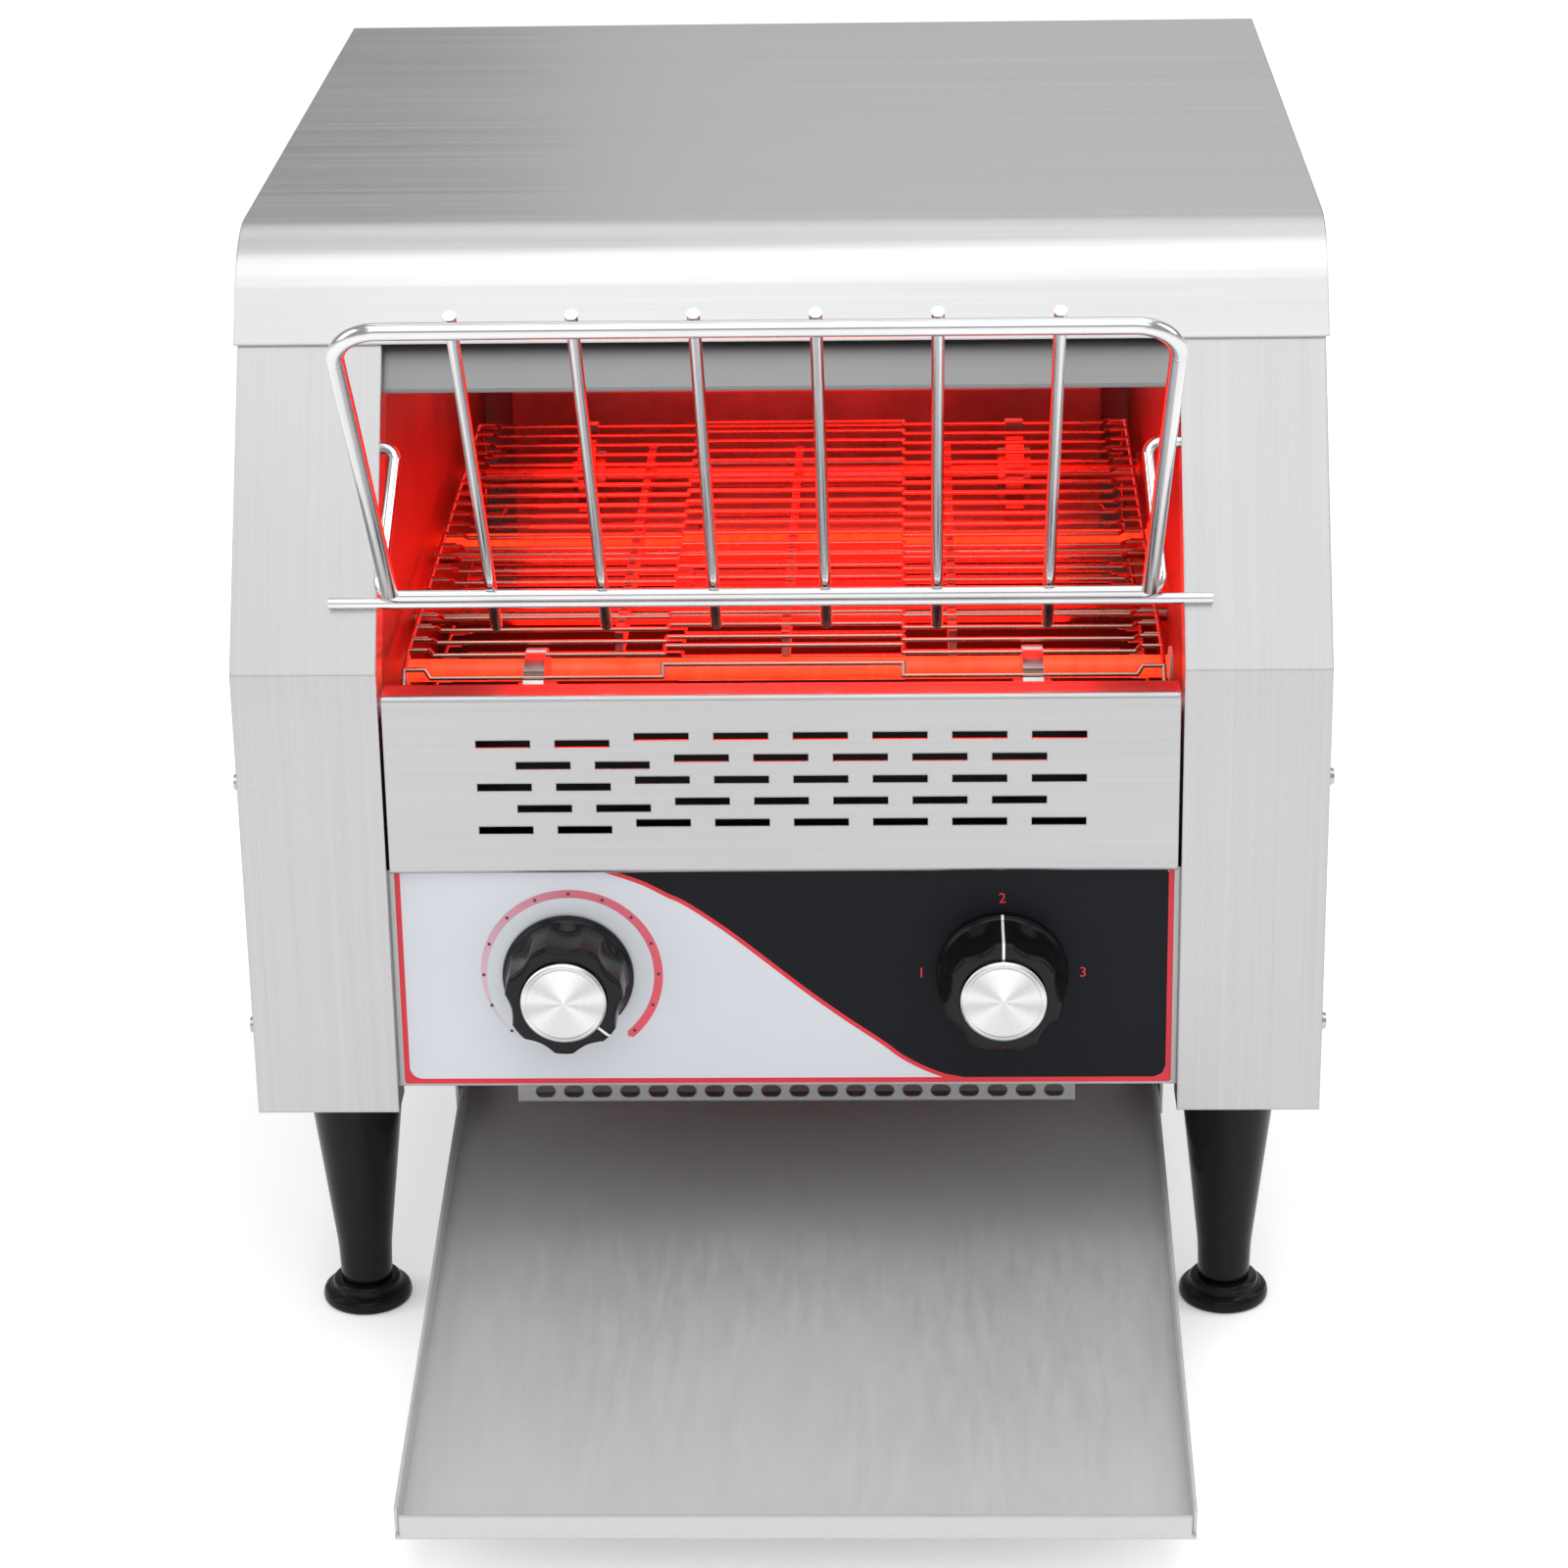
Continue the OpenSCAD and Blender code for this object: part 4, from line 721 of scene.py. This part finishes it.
@dataclass
class Chamber:
    """The heating tubes, the belt, its drive and the controls' inner works."""

    shop: Workshop

    def build(self) -> None:
        """Dresses the chamber's solids."""
        dress = self.shop.dress
        dress(TUBE_GLOW, "upper_elements", "lower_elements")
        dress(CERAMIC, "element_insulators")
        dress(BELT_WIRE, "conveyor_belt", "belt_support_rails")
        dress(TURNED_STEEL, "drive_shaft", "idler_shaft", "drive_belt_sprockets",
              "idler_belt_sprockets", "driven_sprocket", "motor_sprocket", "drive_chain",
              "speed_shaft", "selector_shaft")
        dress(BRONZE, "shaft_bushes")
        dress(MOTOR_PAINT, "gear_motor")
        dress(BLACK_PLASTIC, "fan_frame", "fan_rotor")
        dress(BOARD_GREEN, "speed_control")
        dress(SWITCH_BLACK, "selector_switch")
        dress(IVORY_PLASTIC, "terminal_block")


@dataclass
class RackAndTray:
    """The wire loading rack and the toast tray."""

    shop: Workshop

    def build(self) -> None:
        """Dresses the rack and the tray."""
        self.shop.dress(WIRE_CHROME, "rack_frame", "rack_bail", "rack_bars", "rack_rod")
        self.shop.dress(TRAY_STEEL, "toast_tray")


class Level(IntEnum):
    """Which ink lies over which, in ink thicknesses from the overlay's face."""

    FIELD = 1
    RED = 2
    SWEEP = 3
    MARK = 4


@dataclass
class ControlPanel:
    """The printed overlay: a pale field, a black field, red lines, the dial's arc and its marks."""

    shop: Workshop
    face_y: float = 4.0
    ink: float = 0.03
    half_width: float = 132.0
    low: float = 105.0
    high: float = 184.9
    border: float = 1.9
    corner: float = 4.5
    outer_corner: float = 1.2
    corner_steps: int = 12
    tuck: float = 0.2
    line_width: float = 1.5
    dial_x: float = -73.1
    selector_x: float = 74.0
    arc_radius: float = 29.9
    arc_from: float = 232.0
    arc_to: float = -51.0
    arc_steps: int = 160
    arc_widths: tuple[Point, ...] = (
        (232.0, 0.4), (202.0, 1.0), (180.0, 2.0), (157.0, 2.5), (112.0, 2.9), (60.0, 3.0),
        (-51.0, 3.0),
    )
    mark_from: float = 225.0
    mark_step: float = 22.5
    mark_count: int = 13
    mark_radius: float = 0.6
    mark_points: int = 13
    label_reach: float = 27.5
    label_lift: float = 0.6
    label_size: float = 5.2
    sweep_steps: int = 96
    sweep_line: tuple[Point, ...] = (
        (-62.5, 185.4), (-57.2, 183.5), (-52.9, 182.0), (-46.4, 179.3), (-39.8, 175.6),
        (-33.2, 172.2), (-20.1, 162.7), (-7.0, 151.8), (6.2, 140.6), (19.5, 130.1),
        (32.8, 120.4), (39.5, 115.0), (46.2, 111.0), (53.0, 108.0), (56.3, 107.1), (62.0, 106.0),
    )

    def layer(self, name: str, plane: np.ndarray, level: Level, finish: Finish,
              uv: np.ndarray | None = None) -> None:
        """Prints a field: a grid of x, z points laid just in front of the overlay.

        Args:
            name: the piece's name.
            plane: rows by columns by 2 array of x and z.
            level: which ink it is.
            finish: its material.
            uv: surface coordinates for each corner, or None.
        """
        rows, columns = plane.shape[:2]
        y = np.full((rows, columns), self.face_y - self.ink * level)
        corners = np.stack([plane[..., 0], y, plane[..., 1]], -1)
        quads = grid_quads(rows, columns)
        a, b, c = (plane.reshape(-1, 2)[quads[:, k]] for k in (0, 1, 2))
        first, second = b - a, c - b
        if (first[:, 0] * second[:, 1] - first[:, 1] * second[:, 0]).sum() < 0:
            quads = quads[:, ::-1]
        piece = new_piece(name, corners, quads, "housing", False, uv)
        self.shop.paint(finish, piece)

    def frame_path(self, inset: float, radius: float) -> np.ndarray:
        """Three sides of the overlay, from the top left down and round to the top right.

        Args:
            inset: how far inside the overlay's edge.
            radius: the rounding of the two lower corners.

        Returns:
            An n by 2 array of x and z.
        """
        x, low = self.half_width - inset, self.low + inset
        a = np.linspace(np.pi, 1.5 * np.pi, self.corner_steps)
        left = np.stack([-x + radius + radius * np.cos(a), low + radius + radius * np.sin(a)], -1)
        right = left[::-1] * [-1, 1]
        return np.concatenate([[[-x, self.high]], left, right, [[x, self.high]]])

    def below_top(self, plane: np.ndarray) -> np.ndarray:
        """Cuts x, z points off at the overlay's upper edge."""
        return np.minimum(plane, [np.inf, self.high])

    def black_field(self) -> np.ndarray:
        """Ruled surface from the sweeping line to the right-hand border: point n of the line joins
        point n of the border, whose points are evenly spaced.

        Returns:
            A 2 by n by 2 array of x and z.
        """
        line = spline(self.sweep_line, self.sweep_steps)
        path = self.frame_path(self.border - self.tuck, self.corner)
        right = path[path[:, 0] > 0][::-1]
        start, end = [line[0, 0], self.high], [line[-1, 0], path[:, 1].min()]
        outer = np.concatenate([[start], right, [end]])
        steps = np.linalg.norm(np.diff(outer, axis=0), axis=1)
        run = np.concatenate([[0], np.cumsum(steps)])
        at = np.linspace(0, run[-1], len(line))
        rim = np.stack([np.interp(at, run, outer[:, k]) for k in (0, 1)], -1)
        return np.stack([self.below_top(line), rim])

    def arc(self) -> tuple[np.ndarray, np.ndarray]:
        """The dial's arc: it swells from a hairline to its full width, and ends in a half circle.

        Returns:
            A 2 by n by 2 array of x and z, and its surface coordinates, the first of them along
            the arc.
        """
        t = np.linspace(0, 1, self.arc_steps)
        a = np.radians(self.arc_from + (self.arc_to - self.arc_from) * t)
        line = np.stack([self.dial_x + self.arc_radius * np.cos(a),
                         KNOB_Z + self.arc_radius * np.sin(a)], -1)
        angles, widths = np.array(self.arc_widths)[::-1].T
        width = np.interp(np.degrees(a), angles, widths)
        turn = math.radians(self.arc_from - self.arc_to)
        end = np.clip((1 - t) * turn * self.arc_radius / (widths[0] / 2), 0, 1)
        width *= np.sqrt(1 - (1 - end) ** 2)
        uv = np.stack([np.stack([t, 0 * t], -1), np.stack([t, 0 * t + 1], -1)])
        return band(line, width), uv

    def marks(self) -> None:
        """Prints round dots along the arc, each a fan of radius by angle."""
        angles = np.radians(self.mark_from - self.mark_step * np.arange(self.mark_count))
        r, turn = np.meshgrid([0.0, self.mark_radius], np.linspace(0, 2 * np.pi, self.mark_points),
                              indexing="ij")
        dot = np.stack([r * np.cos(turn), r * np.sin(turn)], -1)
        for number, angle in enumerate(angles):
            spoke = np.array([math.cos(angle), math.sin(angle)])
            centre = np.array([self.dial_x, KNOB_Z]) + self.arc_radius * spoke
            self.layer(f"dial_mark_{number:02d}", centre + dot, Level.MARK, INK_DARK)

    def lettering(self) -> None:
        """Prints plain numbers for the three running positions, and OFF below."""
        reach = self.label_reach
        spots = (("1", -reach, 0), ("2", 0, reach), ("3", reach, 0),
                 ("OFF", 0, self.label_lift - reach))
        for text, dx, dz in spots:
            y = self.face_y - self.ink * Level.MARK
            middle = place(np.array([self.selector_x + dx, y, KNOB_Z + dz]))
            mesh = text_mesh(text, self.label_size)
            upright = Matrix.Rotation(math.radians(90), 4, "X")
            mesh.transform(Matrix.Translation(middle) @ upright)
            mesh.materials.clear()
            name = "selector_label_" + text.lower()
            self.shop.paint(INK_RED, mount(name, mesh, "housing"))

    def build(self) -> None:
        """Dresses the overlay and prints on it."""
        self.shop.dress(OVERLAY_GREY, "control_overlay")
        self.layer("overlay_black_field", self.black_field(), Level.FIELD, OVERLAY_BLACK)
        outer = self.frame_path(0.0, self.outer_corner)
        inner = self.frame_path(self.border, self.corner)
        self.layer("overlay_red_border", np.stack([outer, inner]), Level.RED, INK_RED)
        sweep = self.below_top(band(spline(self.sweep_line, self.sweep_steps), self.line_width))
        self.layer("overlay_red_sweep", sweep, Level.SWEEP, INK_RED)
        plane, uv = self.arc()
        self.layer("dial_arc", plane, Level.RED, ARC_INK, uv)
        self.marks()
        self.lettering()


@dataclass
class Knob:
    """One control knob: a fluted grip on a round foot, a spun cap and a white pointer line."""

    shop: Workshop
    name: str
    body: str
    x: float
    pointer: float
    foot_y: float = 3.2
    foot_radius: float = 22.5
    foot_edge: float = 1.9
    grip_radius: float = 20.5
    grip_foot: float = 7.0
    grip_sides: int = 224
    height: float = 21.7
    cap_radius: float = 14.6
    cap_height: float = 2.4
    cap_sink: float = 0.6
    cap_sides: int = 128
    lobes: int = 7
    flute: float = 1.9
    flute_from: float = 3.0
    flute_rise: float = 4.5
    flute_fade: float = 2.2
    flute_share: float = 0.42
    flute_power: float = 0.75
    line_half: float = 0.45
    line_proud: float = 0.06

    def seat(self, local: np.ndarray) -> np.ndarray:
        """Turns local points (x right, y up, z towards the user) into body millimetres."""
        x, y, z = self.x + local[..., 0], self.foot_y - local[..., 2], KNOB_Z + local[..., 1]
        return np.stack([x, y, z], -1)

    def grip(self) -> None:
        """The black moulding: radius = profile(z) - depth(z) * flute(angle), where the flutes are a
        power of a clipped cosine, nought on each lobe and deepest half-way between two lobes."""
        foot, grip, cap, top = self.foot_radius, self.grip_radius, self.cap_radius, self.height
        profile = rounded_profile([
            (foot - 2, 0.0, 0), (foot, 0.0, 0.6), (foot, self.foot_edge, 0.9),
            (grip + 0.5, 3.2, 1.2), (grip, self.grip_foot, 1.5), (grip - 0.3, top - 1.2, 1.1),
            (grip - 1.4, top, 0.7), (cap + 0.3, top, 0.3), (cap, top - self.cap_sink, 0),
        ], 8)
        corners, quads = revolve(profile, self.grip_sides)
        a = np.linspace(0, 2 * np.pi, self.grip_sides, endpoint=False)
        wave = np.cos(self.lobes * (a - math.radians(90 - self.pointer)))
        share = self.flute_share
        flute = np.clip((share - wave) / (1 + share), 0, 1) ** self.flute_power
        rise = np.clip((profile[:, 1] - self.flute_from) / self.flute_rise, 0, 1)
        fade = np.clip((profile[:, 0] - cap) / self.flute_fade, 0, 1)
        depth = self.flute * rise ** 2 * (3 - 2 * rise) * fade
        radius = profile[:, 0][:, None] - depth[:, None] * flute[None, :]
        corners[..., 0], corners[..., 1] = radius * np.cos(a), radius * np.sin(a)
        piece = new_piece(self.name + "_moulding", self.seat(corners), quads, self.body)
        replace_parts(self.shop.paint(KNOB_BLACK, piece), self.name)

    def cap(self) -> None:
        """The spun cap: a disc with a bevelled rim and a slightly sunk face. Its surface
        coordinates are the share of the turn and the share of the radius."""
        r, top = self.cap_radius, self.height + self.cap_height
        profile = rounded_profile([
            (r, self.height - self.cap_sink, 0), (r, top - 0.9, 0.3), (r - 0.9, top, 0.4),
            (r - 1.6, top, 0.3), (r - 2.2, top - 0.25, 0.3), (0.02, top - 0.35, 0),
        ], 5)
        corners, quads = revolve(profile, self.cap_sides)
        turn = np.linspace(0, 1, self.cap_sides, endpoint=False)
        u = np.broadcast_to(turn, corners.shape[:2])
        v = np.broadcast_to((profile[:, 0] / r)[:, None], corners.shape[:2])
        piece = new_piece(self.name + "_spun_cap", self.seat(corners), quads, self.body,
                          uv=np.stack([u, v], -1))
        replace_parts(self.shop.paint(CAP_METAL, piece), self.name + "_cap")

    def pointer_line(self) -> None:
        """A painted line on the pointer's lobe, from the cap's edge to the foot: a path of radius
        and height, carried half the line's width to both sides."""
        up = math.radians(90 - self.pointer)
        grip, on_top = self.grip_radius, self.height + self.line_proud
        path = np.array([
            [self.cap_radius + 0.25, on_top], [grip - 1.5, on_top],
            [grip - 0.2, self.height - 1.2], [grip + 0.08, self.grip_foot],
            [grip + 0.65, 3.3], [self.foot_radius + 0.05, self.foot_edge],
        ])
        side = np.array([-self.line_half, self.line_half])[:, None]
        r, z = path[:, 0][None, :], path[:, 1][None, :]
        right = r * math.cos(up) - side * math.sin(up)
        upward = r * math.sin(up) + side * math.cos(up)
        local = np.stack([right, upward, z + 0 * side], -1)
        piece = new_piece(self.name + "_pointer_line", self.seat(local),
                          grid_quads(2, len(path))[:, ::-1], self.body, False)
        self.shop.paint(INK_WHITE, piece)

    def build(self) -> None:
        """Makes the grip, the cap and the pointer line."""
        self.grip()
        self.cap()
        self.pointer_line()


@dataclass
class Leg:
    """One tapered leg and its levelling foot, each a turned profile."""

    shop: Workshop
    name: str
    side: int
    y: float
    x: float = 155.0
    sides: int = 72
    leg_profile: tuple[Corner, ...] = (
        (4.2, 9.4, 0), (9.2, 9.4, 0.6), (9.6, 22.0, 4.0), (17.9, 95.0, 0.8), (18.0, 96.5, 0.5),
        (18.0, 103.95, 0), (0.5, 103.95, 0),
    )
    foot_profile: tuple[Corner, ...] = (
        (0.1, 0.0, 0), (15.0, 0.0, 0.6), (16.0, 1.2, 0.8), (16.0, 4.0, 1.4), (14.4, 5.8, 1.4),
        (12.5, 6.0, 0.6), (12.1, 8.6, 1.0), (10.2, 9.0, 0.5), (4.0, 9.1, 0), (4.0, 41.4, 0),
        (0.1, 41.4, 0),
    )

    def turned(self, part: str, body: str, profile: Sequence[Corner]) -> None:
        """Makes a turned piece that stands for a CAD node.

        Args:
            part: "leg" or "foot".
            body: the body that carries it.
            profile: its corners, from the foot up the outside.
        """
        corners, quads = revolve(rounded_profile(profile), self.sides)
        corners = corners + np.array([self.side * self.x, self.y, 0.0])
        node = f"{self.name}_{part}"
        piece = new_piece(node + "_moulding", corners, quads, body)
        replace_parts(self.shop.paint(LEG_BLACK, piece), node)

    def build(self) -> None:
        """Makes the leg and the foot."""
        self.turned("leg", "housing", self.leg_profile)
        self.turned("foot", self.name + "_levelling_foot", self.foot_profile)


# ---------------------------------------------------------------- studio


@dataclass(frozen=True)
class Lamp:
    """One rectangular lamp, in metres and watts, that looks at a point and isn't seen itself."""

    name: str
    at: Place
    aim: Place
    size: Point
    watts: float
    colour: Colour = WHITE

    def hang(self) -> None:
        """Hangs the lamp."""
        data = bpy.data.lights.new(self.name, "AREA")
        data.shape = "RECTANGLE"
        data.size, data.size_y = self.size
        data.energy, data.color = self.watts, self.colour
        lamp = add_object(self.name, data)
        lamp.location = self.at
        ahead = Vector(self.aim) - Vector(self.at)
        lamp.rotation_euler = ahead.to_track_quat("-Z", "Y").to_euler()
        lamp.visible_camera = False


TUBE_RED: Colour = (1.0, 0.008, 0.004)
LAMPS = (
    Lamp("front_softbox", (0.2, -1.9, 1.95), (0, 0, 0.25), (2.6, 1.6), 14),
    Lamp("overhead_softbox", (0.15, -0.45, 2.3), (0, 0, 0.3), (2.2, 1.3), 16),
    Lamp("rear_top_softbox", (0.25, 1.1, 2.2), (0, 0.1, 0.38), (2.2, 1.3), 8),
    Lamp("back_softbox", (0.45, 2.6, 1.45), (0.1, 0.1, 0.38), (1.6, 1.0), 2.4),
    Lamp("left_softbox", (-1.8, -0.3, 1.2), (0, 0, 0.2), (1.0, 1.4), 9),
    Lamp("right_softbox", (1.9, 0.1, 1.3), (0, 0, 0.2), (1.0, 1.4), 9),
    Lamp("low_front_fill", (0.0, -1.6, 0.32), (0, 0, 0.08), (1.2, 0.4), 0.7),
    Lamp("upper_tube_glow", (0, 0.08, 0.345), (0, 0.08, 0.2), (0.2, 0.16), 1.1, TUBE_RED),
    Lamp("lower_tube_glow", (0, 0.03, 0.222), (0, 0.03, 0.4), (0.2, 0.16), 0.6, TUBE_RED),
)


@dataclass
class Studio:
    """Floor, soft lamps, world and camera. The camera's place is in body millimetres, its angles in
    degrees, and the floor is in metres."""

    camera_at: Place = (44.04, -1324.16, 745.83)
    yaw: float = -1.8658
    pitch: float = -21.7448
    roll: float = -0.9951
    lens: float = 98.01
    sensor: float = 36.0
    clip: Point = (0.05, 30.0)
    surround_light: float = 0.64
    surround_shine: float = 0.4
    floor_reach: float = 14.0
    floor_colour: Colour = (0.9, 0.9, 0.9)
    floor_roughness: float = 0.8
    floor_specular: float = 0.1
    floor_glow: float = 0.17
    floor_seen: float = 0.27

    def camera(self) -> None:
        """Stands the camera: yaw turns it about z, pitch tips it, roll leans it to the side."""
        a, b, c = np.radians([self.yaw, self.pitch, self.roll])
        forward = np.array([np.sin(a) * np.cos(b), np.cos(a) * np.cos(b), np.sin(b)])
        level = np.array([np.cos(a), -np.sin(a), 0.0])
        over = np.cross(level, forward)
        right, up = np.cos(c) * level + np.sin(c) * over, -np.sin(c) * level + np.cos(c) * over
        data = bpy.data.cameras.new("camera")
        data.lens, data.sensor_width = self.lens, self.sensor
        data.clip_start, data.clip_end = self.clip
        camera = add_object("camera", data)
        turn = Matrix(np.stack([right, up, -forward], 1).tolist()).to_4x4()
        at = Vector(place(np.array(self.camera_at)))
        camera.matrix_world = Matrix.Translation(at) @ turn
        bpy.context.scene.camera = camera

    def world(self) -> None:
        """A surround that is white to the eye, dimmer as light and dimmer still in reflections."""
        world = bpy.data.worlds.new("studio")
        bpy.context.scene.world = world
        g = Graph(world, "Background")
        ray = g.add("LightPath").outputs
        lit = g.remap(ray["Is Glossy Ray"], (0, 1), (self.surround_light, self.surround_shine))
        seen = g.math("MAXIMUM", ray["Is Camera Ray"], lit)
        g.surface(Color=(*WHITE, 1), Strength=seen)

    def floor(self) -> None:
        """A pale floor that runs far back, and glows a little more to the eye than as light."""
        r = self.floor_reach
        mesh = bpy.data.meshes.new("floor")
        mesh.from_pydata([(-r, -r, 0), (r, -r, 0), (r, r, 0), (-r, r, 0)], [], [(0, 1, 2, 3)])
        floor = add_object("floor", mesh)
        g = Graph.of_material("studio_floor")
        g.surface(Base_Color=(*self.floor_colour, 1), Roughness=self.floor_roughness,
                  Specular_IOR_Level=self.floor_specular)
        seen = g.add("LightPath").outputs["Is Camera Ray"]
        glow = g.remap(seen, (0, 1), (self.floor_glow, self.floor_seen))
        g.surface(Emission_Color=(*WHITE, 1), Emission_Strength=glow)
        mesh.materials.append(g.owner)
        LOG.info("floor: %g metres to each side", r)

    def build(self) -> None:
        """Sets up the whole studio."""
        self.camera()
        self.world()
        self.floor()
        for lamp in LAMPS:
            lamp.hang()


def main() -> None:
    logging.basicConfig(level=logging.INFO, format="%(name)s: %(message)s")
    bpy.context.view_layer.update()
    shop = Workshop()
    Studio().build()
    Casing(shop).build()
    Chamber(shop).build()
    RackAndTray(shop).build()
    ControlPanel(shop).build()
    Knob(shop, "speed_knob", "speed_dial", -74.0, 130.5).build()
    Knob(shop, "selector_knob", "selector", 74.0, 0.0).build()
    for end, y in (("front", 45.0), ("rear", 370.0)):
        for hand, side in (("left", -1), ("right", 1)):
            Leg(shop, f"{end}_{hand}", side, y).build()
    bpy.context.scene.view_settings.view_transform = "Standard"


if __name__ == "__main__":
    main()
